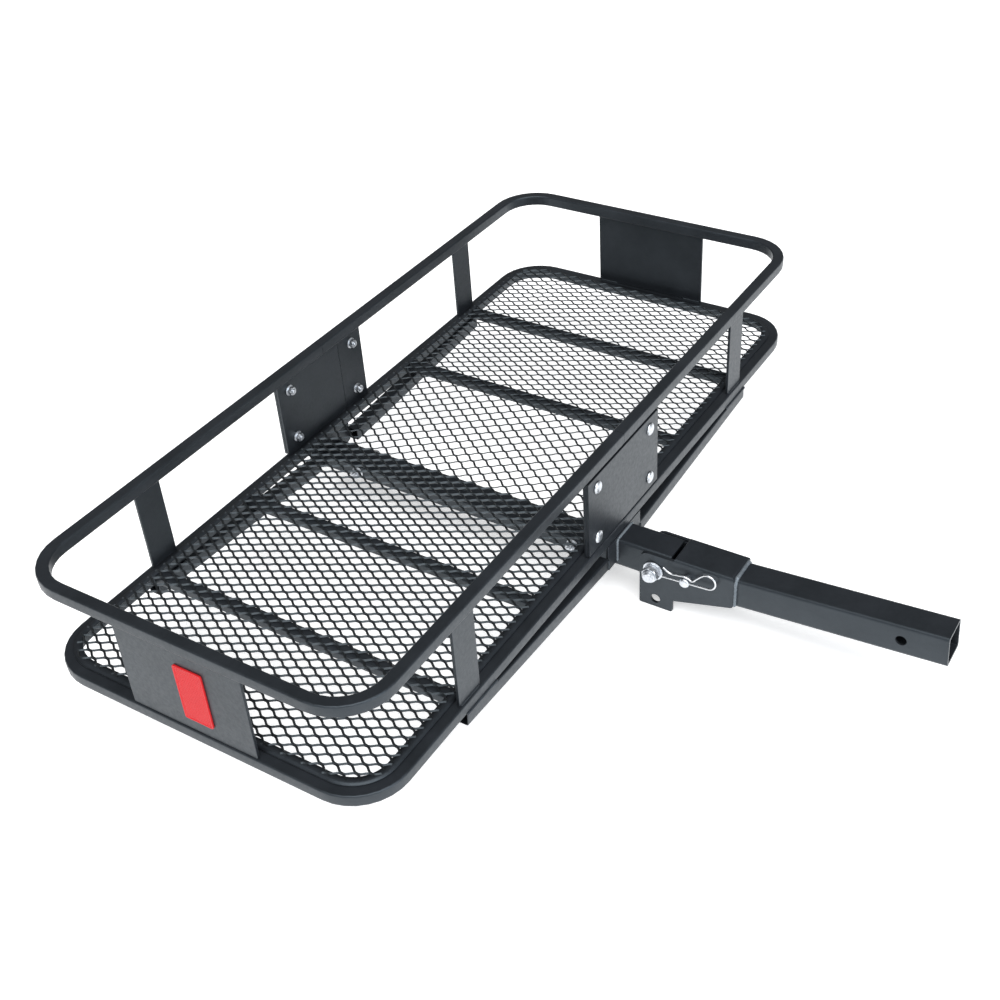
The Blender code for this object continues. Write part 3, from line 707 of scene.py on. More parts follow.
    def build(self) -> None:
        """Lays both sheets."""
        tree = self.tree()
        left_low, left_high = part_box("mesh_sheet_left")
        right_low, right_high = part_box("mesh_sheet_right")
        seam = (left_high.x + right_low.x) / 2
        centre = (left_low.y + left_high.y) / 2
        width = left_high.y - left_low.y
        for node, side, far, stretch in (
            ("mesh_sheet_left", -1.0, left_low.x, 0.0),
            ("mesh_sheet_right", 1.0, right_high.x, self.stretch),
        ):
            span = abs(far - seam) - stretch
            rows = int(span / (self.short_pitch / 2)) + 1
            length = (rows - 1) * self.short_pitch / 2
            steps = int(width / self.long_pitch * self.samples) + 1
            values = {
                "Length": length,
                "Width": width,
                "Seam": seam,
                "Side": side,
                "Centre": centre,
                "Level": (left_low.z + left_high.z) / 2,
                "Half Length": right_high.x - self.short_of_edge,
                "Half Width": width / 2 - self.short_of_edge + self.rear_gain / 2,
                "Outline Centre": centre + self.rear_gain / 2,
                "Corner Radius": self.corner,
                "Short Pitch": self.short_pitch,
                "Long Pitch": self.long_pitch,
                "Strand Width": self.strand_width,
                "Strand Thickness": self.strand_thickness,
                "Lean": self.lean * side,
                "Bond": self.bond,
                "Stretch": stretch,
                "Stretched Length": self.stretched_length,
                "Rows": rows,
                "Steps": steps,
            }
            piece = tree.make(node.replace("sheet", "strands"), bpy.data.meshes.new(node), values)
            piece.data.shade_flat()
            place(piece, Body.CARRIER, Slot.MESH, self.finishes.mesh, node)


@dataclass
class SheetBorder:
    """The flat strip round each sheet's rim, on or just inside the base rail, where the strands end."""

    finishes: Finishes
    width: float = 0.0145
    thickness: float = 0.0016
    inset: float = 0.006
    rear_inset: float = -0.001
    corner: float = 0.0695
    corner_steps: int = 14

    def tree(self) -> Tree:
        """Builds the tree that draws a flat strip along a path.

        Returns:
            The tree.
        """
        tree = Tree("sheet_border", self.finishes.coat)
        width = tree.value("Strip Width")
        thickness = tree.value("Strip Thickness")
        path = tree.node("MeshToCurve", {"Mesh": tree.entry.outputs["Geometry"]}).outputs[0]
        level = tree.node("SetCurveNormal", {"Curve": path}, mode="Z_UP").outputs[0]
        section = tree.node(
            "CurvePrimitiveQuadrilateral", {"Width": width, "Height": thickness}, mode="RECTANGLE"
        ).outputs[0]
        strip = tree.node("CurveToMesh", {"Curve": level, "Profile Curve": section, "Fill Caps": True})
        tree.finish(strip.outputs[0])
        return tree

    def path(self, low: Vector, high: Vector, side: int) -> Points:
        """The strip's middle line, from the seam round the sheet's end and back.

        Args:
            low: the low corner of the sheet's box.
            high: its high corner.
            side: -1 for the sheet at the -X end, 1 for the other.

        Returns:
            The line's points.
        """
        reach = self.inset + self.width / 2
        rear_reach = self.rear_inset + self.width / 2
        bend, rear_bend = self.corner - reach, self.corner - rear_reach
        tip, seam = (low.x + reach, high.x) if side < 0 else (high.x - reach, low.x)
        level = low.z + self.thickness / 2
        points = [Vector((seam, low.y + reach, level))]
        front, rear = low.y + self.corner, high.y - self.corner
        for y, start, depth in ((front, -math.pi / 2, bend), (rear, 0.0, rear_bend)):
            for step in range(self.corner_steps + 1):
                turn = start + math.pi / 2 * step / self.corner_steps
                x = tip - side * bend * (1 - math.cos(turn))
                points.append(Vector((x, y + depth * math.sin(turn), level)))
        return points + [Vector((seam, high.y - rear_reach, level))]

    def build(self) -> None:
        """Lays the strips of both sheets."""
        tree = self.tree()
        for name, side in (("left", -1), ("right", 1)):
            points = self.path(*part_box(f"mesh_sheet_{name}"), side)
            mesh = bpy.data.meshes.new("border")
            mesh.from_pydata(points, [(i, i + 1) for i in range(len(points) - 1)], [])
            values = {"Strip Width": self.width, "Strip Thickness": self.thickness}
            piece = tree.make(f"sheet_border_{name}", mesh, values)
            place(piece, Body.CARRIER, Slot.COAT, self.finishes.coat)


# ---------------------------------------------------------------- welds


@dataclass
class Welds:
    """Fillet welds with the ripples of the torch, coated over with the frame; the beads at the stub and the
    bracket wear a lighter grey-blue colour, a painted highlight.
    """

    finishes: Finishes
    bead: float = 0.0026
    small_bead: float = 0.0019
    bracket_bead: float = 0.0034
    bracket_lip: float = 0.0215
    bracket_plate: float = 0.005
    ripple: float = 0.0024
    ripple_depth: float = 0.16
    step: float = 0.0006
    low_part: float = 0.86  # of the radius, between two ripples
    unevenness: float = 0.35
    wobble_scale: float = 160.0
    blunt_end: float = 0.0008  # by which a bead's taper is cut off
    corner_run: float = 0.034
    short_of_end: float = 0.003
    brace_run: float = 0.075
    off_edge: float = 0.0012  # of a bead's middle line from the edge that it follows
    stub_corner: float = 0.004
    bracket_corner: float = 0.0045
    bracket_clearance: float = 0.0014

    def tree(self, finish: bpy.types.Material) -> Tree:
        """Builds the tree that runs a rippled bead along every path of its mesh.

        Args:
            finish: what the beads wear.

        Returns:
            The tree.
        """
        tree = Tree("weld_bead", finish)
        radius, step = map(tree.value, ("Bead", "Step"))
        ripple, depth = map(tree.value, ("Ripple", "Ripple Depth"))
        paths = tree.node("MeshToCurve", {"Mesh": tree.entry.outputs["Geometry"]}).outputs[0]
        fine = tree.node("ResampleCurve", {"Curve": paths, "Length": step}, mode="LENGTH").outputs[0]
        run = tree.node("SplineParameter").outputs["Length"]
        total = tree.node("SplineLength").outputs["Length"]
        wave = tree.maths("PINGPONG", tree.maths("DIVIDE", run, ripple), 0.5)
        wobble = tree.node(
            "ShaderNodeTexNoise",
            {"Vector": tree.node("InputPosition").outputs[0], "Scale": self.wobble_scale, "Detail": 1.0},
        ).outputs["Fac"]
        crest = tree.maths("MULTIPLY", wave, tree.maths("MULTIPLY", depth, 2.0))
        level = tree.maths("ADD", crest, self.low_part)
        sway = tree.maths("MULTIPLY", tree.maths("SUBTRACT", wobble, 0.5), self.unevenness)
        uneven = tree.maths("ADD", level, sway)
        edge = tree.maths("MINIMUM", run, tree.maths("SUBTRACT", total, run))
        near_end = tree.maths("DIVIDE", tree.maths("ADD", edge, self.blunt_end), radius)
        taper = tree.maths("SQRT", tree.maths("MINIMUM", near_end, 1.0))
        size = tree.maths("MULTIPLY", uneven, taper)
        section = tree.node(
            "CurvePrimitiveCircle", {"Resolution": 8, "Radius": radius}, mode="RADIUS"
        ).outputs[0]
        bead = tree.node(
            "CurveToMesh", {"Curve": fine, "Profile Curve": section, "Scale": size, "Fill Caps": True}
        ).outputs[0]
        tree.finish(bead)
        return tree

    def run(self, name: str, tree: Tree, paths: list[Points], body: Body, radius: float) -> None:
        """Lays beads along paths as one piece.

        Args:
            name: the piece's name.
            tree: the tree that makes the beads.
            paths: their middle lines.
            body: what the piece moves with.
            radius: of the beads.
        """
        mesh = bpy.data.meshes.new(name)
        points = [point for path in paths for point in path]
        edges, start = [], 0
        for path in paths:
            edges += [(start + i, start + i + 1) for i in range(len(path) - 1)]
            start += len(path)
        mesh.from_pydata(points, edges, [])
        values = {
            "Bead": radius,
            "Ripple": self.ripple,
            "Ripple Depth": self.ripple_depth,
            "Step": self.step,
        }
        piece = tree.make(name, mesh, values)
        piece.data.shade_smooth()
        place(piece, body, Slot.COAT, tree.material)

    def foot_paths(self) -> list[Points]:
        """Beads along both sides of every upright, and at the corners of every plate's inner side.

        Returns:
            The beads' middle lines.
        """
        paths = []
        for node in sorted(frame["nodes"]):
            if not node.startswith(("upright", "end_plate", "half_plate")):
                continue
            low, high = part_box(node)
            for level in (low.z, high.z):
                inner, outer = self.edges_at(low, high, level)
                if node.startswith("upright"):
                    paths += [inner, outer]
                    continue
                start, end = inner
                run = (end - start).normalized() * self.corner_run
                paths += [[start, start + run], [end - run, end]]
        return paths

    def edges_at(self, low: Vector, high: Vector, level: float) -> tuple[Points, Points]:
        """The inner and the outer long edge of a standing plate at a level.

        Args:
            low: the low corner of the plate's box.
            high: its high corner.
            level: the height of the edges.

        Returns:
            Two-point paths, a little short of the plate's ends.
        """
        short = self.short_of_end
        deck = middle_of("mesh_sheet_left")
        middle = (low + high) / 2
        if high.x - low.x > high.y - low.y:
            places = (low.y, high.y) if middle.y > deck.y else (high.y, low.y)
            ends = [((low.x + short, y), (high.x - short, y)) for y in places]
        else:
            places = (low.x, high.x) if middle.x > 0 else (high.x, low.x)
            ends = [((x, low.y + short), (x, high.y - short)) for x in places]
        inner, outer = ([Vector((*spot, level)) for spot in pair] for pair in ends)
        return inner, outer

    def under_paths(self) -> list[Points]:
        """Beads at the crossbars' ends, the gussets and the braces' outer ends.

        Returns:
            The beads' middle lines.
        """
        paths = []
        for number in range(1, 5):
            low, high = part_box(f"crossbar_{number}")
            for y in (low.y, high.y):
                for x in (low.x, high.x):
                    paths.append([Vector((x, y, low.z)), Vector((x, y, high.z - self.short_of_end))])
                paths.append([Vector((low.x, y, low.z)), Vector((high.x, y, low.z))])
        for end in ("front", "rear"):
            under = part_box("base_frame_left")[0].z
            gusset_low, gusset_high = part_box(f"{end}_gusset")
            inner = gusset_high.y if end == "front" else gusset_low.y
            paths.append([Vector((x, inner, under)) for x in (gusset_low.x, gusset_high.x)])
            for side in ("left", "right"):
                low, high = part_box(f"brace_{end}_{side}")
                tip = low.x if side == "left" else high.x
                root = high.x if side == "left" else low.x
                back = self.brace_run if side == "left" else -self.brace_run
                for y in (low.y, high.y):
                    paths.append([Vector((tip, y, under)), Vector((tip + back, y, under - self.off_edge))])
                outer = gusset_low.y if end == "front" else gusset_high.y
                paths.append([Vector((root, outer, low.z + 0.0015)), Vector((root, outer, low.z + 0.019))])
        return paths

    def stub_paths(self) -> list[Points]:
        """Beads round the carrier's stub where it enters the front gusset.

        Returns:
            The beads' middle lines.
        """
        low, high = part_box("carrier_stub")
        gusset_low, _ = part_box("front_gusset")
        y = gusset_low.y - 0.0004
        corner, foot = self.stub_corner, gusset_low.z + 0.001
        over = [Vector((low.x + corner, y, high.z)), Vector((high.x - corner, y, high.z))]
        return [
            [Vector((low.x, y, foot)), Vector((low.x, y, high.z - corner)), over[0]],
            over,
            [over[1], Vector((high.x, y, high.z - corner)), Vector((high.x, y, foot))],
        ]

    def bracket_paths(self) -> list[Points]:
        """One bead up a side of the bracket's front edge, over its top and down the other side.

        Returns:
            The bead's middle line, as the one path of a list.
        """
        low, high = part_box("fold_bracket")
        shank_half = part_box("shank_tube")[1].x
        pivot = Vector(next(joint for joint in frame["joints"] if joint["name"] == "fold")["pos_m"])
        front = low.y - self.off_edge
        foot = pivot.z - self.bracket_lip
        top = high.z - self.bracket_plate
        reach = shank_half + self.bracket_clearance
        corner = self.bracket_corner
        bend = shank_half - corner
        left = [Vector((-reach, front, foot)), Vector((-reach, front, top - corner))]
        over = [Vector((x, front, top + self.off_edge)) for x in (-bend, bend)]
        right = [Vector((reach, front, top - corner)), Vector((reach, front, foot))]
        return [left + over + right]

    def build(self) -> None:
        """Lays every weld of the object."""
        # light: the weld finish, whose lighter colour is a painted highlight on the stub and bracket beads.
        dark, light = self.tree(self.finishes.coat), self.tree(self.finishes.weld)
        self.run("post_welds", dark, self.foot_paths(), Body.CARRIER, self.small_bead)
        self.run("underframe_welds", dark, self.under_paths(), Body.CARRIER, self.bead)
        self.run("stub_welds", light, self.stub_paths(), Body.CARRIER, self.bead)
        self.run("bracket_welds", light, self.bracket_paths(), Body.SHANK, self.bracket_bead)


# ---------------------------------------------------------------- fasteners


class Fasteners:
    """A tree that sets one fastener on every point of a mesh."""

    def __init__(self, finishes: Finishes) -> None:
        """Builds the tree.

        Args:
            finishes: the object's materials.
        """
        self.finishes = finishes
        self.tree = Tree("fasteners", finishes.zinc)
        template = self.tree.value("Fastener", "NodeSocketObject")
        shape = self.tree.node("ObjectInfo", {"Object": template}, transform_space="ORIGINAL")
        twist = self.tree.node(
            "FunctionNodeRandomValue",
            {"Min": (0, 0, 0), "Max": (0, 0, math.tau), "Seed": 7},
            data_type="FLOAT_VECTOR",
        )
        self.facing = self.tree.value("Facing", "NodeSocketRotation")
        turned = self.tree.node(
            "FunctionNodeRotateRotation",
            {"Rotation": self.facing, "Rotate By": twist.outputs[0]},
            rotation_space="LOCAL",
        )
        placed = self.tree.node(
            "InstanceOnPoints",
            {
                "Points": self.tree.entry.outputs["Geometry"],
                "Instance": shape.outputs["Geometry"],
                "Rotation": turned.outputs[0],
            },
        )
        self.tree.finish(placed.outputs[0])

    def set(
        self, name: str, shape: bmesh.types.BMesh, spots: Points, facing: Vector, body: Body, *nodes: str
    ) -> None:
        """Sets a fastener at each spot.

        Args:
            name: the piece's name.
            shape: the fastener, standing on z = 0 and facing +Z.
            spots: where they go.
            facing: the way they face.
            body: what they move with.
            *nodes: the solids they stand for.
        """
        template = new_object(name + "_shape", mesh_of(name + "_shape", shape, 35.0))
        points = bpy.data.meshes.new(name)
        points.from_pydata(spots, [], [])
        turn = facing.to_track_quat("Z", "Y").to_euler()
        piece = self.tree.make(name, points, {"Fastener": template, "Facing": tuple(turn)})
        bpy.data.objects.remove(template)
        piece.data.shade_smooth()
        piece.data.set_sharp_from_angle(angle=math.radians(35))
        place(piece, body, Slot.ZINC, self.finishes.zinc, *nodes)


def dome_bolt(shank: float, head: float, height: float, length: float) -> bmesh.types.BMesh:
    """A carriage bolt whose dome stands on z = 0 and whose shank hangs below.

    Args:
        shank: radius of the shank.
        head: radius of the dome.
        height: of the dome.
        length: of the shank.

    Returns:
        The bolt.
    """
    chamfer, lip, steps = 0.0008, 0.0004, 12
    profile = [(0.0, -length), (shank - chamfer, -length), (shank, -length + chamfer), (shank, 0.0)]
    profile += [(head - lip, 0.0), (head, lip)]
    for step in range(1, steps):
        turn = math.pi / 2 * step / steps
        profile.append((head * math.cos(turn), lip + (height - lip) * math.sin(turn)))
    profile.append((0.0, height))
    return revolve(profile, 40)


def hex_prism(
    flats: float, start: float, end: float, chamfer: float, bore: float, sides: int = 36
) -> bmesh.types.BMesh:
    """A hexagon along Z with chamfered corners, and a bore if it has one.

    Args:
        flats: width across flats.
        start: lower end.
        end: upper end.
        chamfer: depth of the turned chamfer at both ends.
        bore: radius of the hole, or 0.
        sides: facets round, a multiple of 12.

    Returns:
        The shape.
    """
    shape = bmesh.new()
    rim = flats / 2 * 1.035
    rings = []
    for z, limit in ((start, rim), (start + chamfer, 1.0), (end - chamfer, 1.0), (end, rim)):
        ring = []
        for i in range(sides):
            turn = math.tau * i / sides
            off = (turn + math.pi / 6) % (math.pi / 3) - math.pi / 6
            radius = min(flats / 2 / math.cos(off), limit)
            ring.append(shape.verts.new((radius * math.cos(turn), radius * math.sin(turn), z)))
        rings.append(ring)
    if bore:
        for z in (end, start):
            turns = (math.tau * i / sides for i in range(sides))
            rings.append([shape.verts.new((bore * math.cos(a), bore * math.sin(a), z)) for a in turns])
        rings.append(rings[0])
    for lower, upper in zip(rings, rings[1:]):
        for i in range(sides):
            shape.faces.new((lower[i - 1], lower[i], upper[i], upper[i - 1]))
    if not bore:
        shape.faces.new(rings[0])
        shape.faces.new(rings[-1])
    return shape


def joined(*shapes: bmesh.types.BMesh) -> bmesh.types.BMesh:
    """Puts several shapes in one, each with its faces pointing out.

    Args:
        *shapes: the shapes; they are freed.

    Returns:
        The whole.
    """
    whole = bmesh.new()
    for shape in shapes:
        mesh = bpy.data.meshes.new("part")
        bmesh.ops.recalc_face_normals(shape, faces=shape.faces)
        shape.to_mesh(mesh)
        shape.free()
        whole.from_mesh(mesh)
        bpy.data.meshes.remove(mesh)
    return whole


def flanged_nut(flats: float, flange: float, height: float, bore: float) -> bmesh.types.BMesh:
    """A hexagon nut with a dished flange, standing on z = 0.

    Args:
        flats: width across flats.
        flange: diameter of the flange.
        height: of the whole nut.
        bore: radius of the hole.

    Returns:
        The nut.
    """
    rim = flange / 2
    skirt = height * 0.16
    edge, top = 0.0003, skirt * 1.5
    dish = [(bore, 0.0), (rim - edge, 0.0), (rim, edge), (rim, skirt * 0.6)]
    dish += [(flats * 0.54, top), (bore, top)]
    return joined(revolve(dish, 36), hex_prism(flats, skirt, height, height * 0.10, bore))


def threaded_rod(radius: float, start: float, end: float, pitch: float) -> bmesh.types.BMesh:
    """A rod along Z with thread rings and a chamfered end.

    Args:
        radius: of the rod.
        start: its lower end.
        end: its upper end.
        pitch: from ring to ring.

    Returns:
        The rod.
    """
    chamfer = 0.0006
    profile = [(0.0, start), (radius, start)]
    turns = max(2, int((end - start - chamfer) / pitch))
    for i in range(turns):
        z = start + (end - start - chamfer) * i / turns
        profile += [(radius, z + pitch * 0.1), (radius - pitch * 0.45, z + pitch * 0.5)]
    profile += [(radius, end - chamfer), (radius - chamfer, end), (0.0, end)]
    return revolve(profile, 28)


@dataclass
class SpliceBolts:
    """Carriage bolts and flange nuts through the splice plates."""

    fasteners: Fasteners
    shank: float = 0.004
    head: float = 0.010
    height: float = 0.0045
    flats: float = 0.013
    flange: float = 0.0185

    def build(self) -> None:
        """Sets the bolts and nuts of both long sides."""
        for end, way in (("front", -1), ("rear", 1)):
            outward = Vector((0, way, 0))
            bolts = [f"carriage_bolt_{end}_{i}" for i in range(1, 5)]
            nuts = [f"flange_nut_{end}_{i}" for i in range(1, 5)]
            low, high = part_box(bolts[0])
            length = high.y - low.y - self.height
            seat = (high.y - self.height) if way > 0 else (low.y + self.height)
            spots = [Vector((middle_of(node).x, seat, middle_of(node).z)) for node in bolts]
            bolt = dome_bolt(self.shank, self.head, self.height, length)
            self.fasteners.set(f"carriage_bolts_{end}", bolt, spots, outward, Body.CARRIER, *bolts)
            low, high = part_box(nuts[0])
            seat = high.y if way > 0 else low.y
            spots = [Vector((middle_of(node).x, seat, middle_of(node).z)) for node in nuts]
            nut = flanged_nut(self.flats, self.flange, high.y - low.y, self.shank + 0.0002)
            self.fasteners.set(f"flange_nuts_{end}", nut, spots, -outward, Body.CARRIER, *nuts)


@dataclass
class CrossBolts:
    """The bolts along X: the two that join the centre tubes, and the pivot."""

    fasteners: Fasteners
    joining_flats: float = 0.017
    joining_radius: float = 0.005
    joining_head: float = 0.0065
    pivot_flats: float = 0.0238
    pivot_radius: float = 0.0079
    pivot_head: float = 0.010
    washer_radius: float = 0.0165
    thread_pitch: float = 0.0015

    def bolt(self, flats: float, radius: float, head: float, length: float) -> bmesh.types.BMesh:
        """A hexagon bolt whose head stands on z = 0 and whose threaded shank hangs below.

        Args:
            flats: width of the head across its flats.
            radius: of the shank.
            head: height of the head.
            length: of the shank.

        Returns:
            The bolt.
        """
        grip = threaded_rod(radius, 0.0, length, self.thread_pitch)
        bmesh.ops.rotate(grip, verts=grip.verts, matrix=Matrix.Rotation(math.pi, 3, "X"))
        return joined(grip, hex_prism(flats, 0.0, head, head * 0.12, 0.0))

    def build(self) -> None:
        """Sets the bolts with their nuts, and the pivot's washer."""
        right, left = Vector((1, 0, 0)), Vector((-1, 0, 0))
        bolts = ["joining_bolt_front", "joining_bolt_rear"]
        low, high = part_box(bolts[0])
        seat = high.x - self.joining_head
        spots = [Vector((seat, middle_of(node).y, middle_of(node).z)) for node in bolts]
        shape = self.bolt(self.joining_flats, self.joining_radius, self.joining_head, seat - low.x)
        self.fasteners.set("joining_bolts", shape, spots, right, Body.CARRIER, *bolts)
        nuts = ["joining_nut_front", "joining_nut_rear"]
        low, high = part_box(nuts[0])
        spots = [Vector((high.x, middle_of(node).y, middle_of(node).z)) for node in nuts]
        flange, bore = self.joining_flats * 1.25, self.joining_radius + 0.0002
        shape = flanged_nut(self.joining_flats, flange, high.x - low.x, bore)
        self.fasteners.set("joining_nuts", shape, spots, left, Body.CARRIER, *nuts)

        low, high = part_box("pivot_bolt")
        middle = middle_of("pivot_bolt")
        seat = high.x - self.pivot_head
        shape = self.bolt(self.pivot_flats, self.pivot_radius, self.pivot_head, seat - low.x)
        spot = [Vector((seat, middle.y, middle.z))]
        self.fasteners.set("pivot_bolt_threaded", shape, spot, right, Body.SHANK, "pivot_bolt")
        low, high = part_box("pivot_nut")
        shape = self.lock_nut(high.x - low.x)
        spot = [Vector((high.x, middle.y, middle.z))]
        self.fasteners.set("pivot_lock_nut", shape, spot, left, Body.SHANK, "pivot_nut")
        low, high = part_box("pivot_washer")
        bore = self.pivot_radius + 0.0004
        thick = high.x - low.x
        outer, edge = self.washer_radius, 0.0004
        ring = [(bore, 0.0), (outer - edge, 0.0), (outer, edge)]
        ring += [(outer, thick - edge), (outer - edge, thick), (bore, thick)]
        spot = [Vector((high.x, middle.y, middle.z))]
        self.fasteners.set("pivot_flat_washer", revolve(ring, 48), spot, left, Body.SHANK, "pivot_washer")

    def lock_nut(self, height: float) -> bmesh.types.BMesh:
        """A tall nut with a rolled collar at its outer end.

        Args:
            height: of the nut.

        Returns:
            The nut, standing on z = 0.
        """
        bore = self.pivot_radius + 0.0003
        collar = self.pivot_flats * 0.46
        start = height * 0.72
        ring = [(bore, start), (collar, start), (collar, height - 0.002)]
        ring += [(collar - 0.0015, height - 0.0004), (collar - 0.003, height), (bore, height)]
        body = hex_prism(self.pivot_flats, 0.0, height * 0.74, 0.0012, bore)
        return joined(body, revolve(ring, 36))


# ---------------------------------------------------------------- lock pin and its clip


@dataclass
class Lock:
    """The lock pin, and the spring clip bent from one wire."""

    finishes: Finishes
    pin_radius: float = 0.00794
    pin_head: float = 0.007
    pin_rim: float = 0.0045
    pin_round: float = 0.0025
    wire: float = 0.0016
    loop: float = 0.0125
    loop_ahead: float = 0.0385
    loop_sweep: float = math.radians(221)
    straight_leg: tuple[float, ...] = (0.037, 0.024, 0.0159, 0.0, -0.0159, -0.028)
    over_pin: float = 0.0009
    sprung_leg: tuple[tuple[float, float], ...] = (
        (-0.0205, 0.0027),
        (-0.0125, -0.0040),
        (-0.0065, -0.0014),
        (0.0010, 0.0006),
        (0.0110, 0.0002),
        (0.0230, -0.0002),
        (0.0345, 0.0075),
    )

    def axes(self) -> tuple[Vector, Vector]:
        """Finds how the clip lies.

        Returns:
            The directions rearward along its leg and up from it.
        """
        joint = next(joint for joint in frame["joints"] if joint["name"] == "clip_slide")
        rearward = -Vector(joint["axis"]).normalized()
        return rearward, Vector((1, 0, 0)).cross(rearward)

    def build_pin(self) -> None:
        """Turns the pin with a domed head and chamfered tail."""
        low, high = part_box("lock_pin")
        middle = middle_of("lock_pin")
        radius = self.pin_radius
        head = (high.z - low.z) / 2
        seat = high.x - self.pin_head
        tail = low.x - seat
        crown, edge, steps = 0.002, 0.0006, 7
        profile = [(0.0, tail), (radius - 0.0025, tail), (radius - 0.0012, tail + 0.0008)]
        profile += [(radius, tail + 0.0025), (radius, 0.0), (head - edge, 0.0), (head, edge)]
        profile.append((head, self.pin_rim))
        for step in range(1, steps):
            turn = math.pi / 2 * step / steps
            rise = self.pin_rim + self.pin_round * math.sin(turn)
            profile.append((head - crown + crown * math.cos(turn), rise))
        profile.append((0.0, self.pin_head))
        shape = revolve(profile, 48)
        turn = Matrix.Rotation(math.pi / 2, 4, "Y")
        shape.transform(Matrix.Translation((seat, middle.y, middle.z)) @ turn)
        piece = new_object("lock_pin_turned", mesh_of("lock_pin_turned", shape, 35.0))
        place(piece, Body.LOCK_PIN, Slot.ZINC, self.finishes.zinc, "lock_pin")

    def route(self) -> Profile:
        """The wire's path: its straight leg, the loop, then the sprung leg.

        Returns:
            Points as (rearward, up) from the pin's centre.
        """
        path = [(along, 0.0) for along in self.straight_leg]
        steps = 12
        for step in range(steps + 1):
            turn = -math.pi / 2 - self.loop_sweep * step / steps
            path.append((self.loop * math.cos(turn) - self.loop_ahead, self.loop * (1 + math.sin(turn))))
        ride = self.pin_radius + self.wire + self.over_pin
        return path + [(along, ride + up) for along, up in self.sprung_leg]

    def build_clip(self) -> None:
        """Bends the clip."""
        rearward, up = self.axes()
        centre = middle_of("lock_pin")
        centre.x = middle_of("pin_clip").x
        curve = bpy.data.curves.new("spring_clip", "CURVE")
        curve.dimensions = "3D"
        curve.bevel_depth = self.wire
        curve.bevel_resolution = 4
        curve.resolution_u = 8
        curve.use_fill_caps = True
        route = self.route()
        spline = curve.splines.new("BEZIER")
        spline.bezier_points.add(len(route) - 1)
        for point, (along, height) in zip(spline.bezier_points, route):
            point.co = centre + rearward * along + up * height
            point.handle_left_type = "AUTO"
            point.handle_right_type = "AUTO"
        source = bpy.data.objects.new("clip_path", curve)
        bpy.context.scene.collection.objects.link(source)
        graph = bpy.context.evaluated_depsgraph_get()
        mesh = bpy.data.meshes.new_from_object(source.evaluated_get(graph))
        bpy.data.objects.remove(source)
        mesh.shade_smooth()
        mesh.set_sharp_from_angle(angle=math.radians(50))
        piece = new_object("spring_clip", mesh)
        place(piece, Body.PIN_CLIP, Slot.WIRE, self.finishes.wire, "pin_clip")

    def build(self) -> None:
        """Makes the pin and the clip."""
        self.build_pin()
        self.build_clip()


# ---------------------------------------------------------------- reflectors


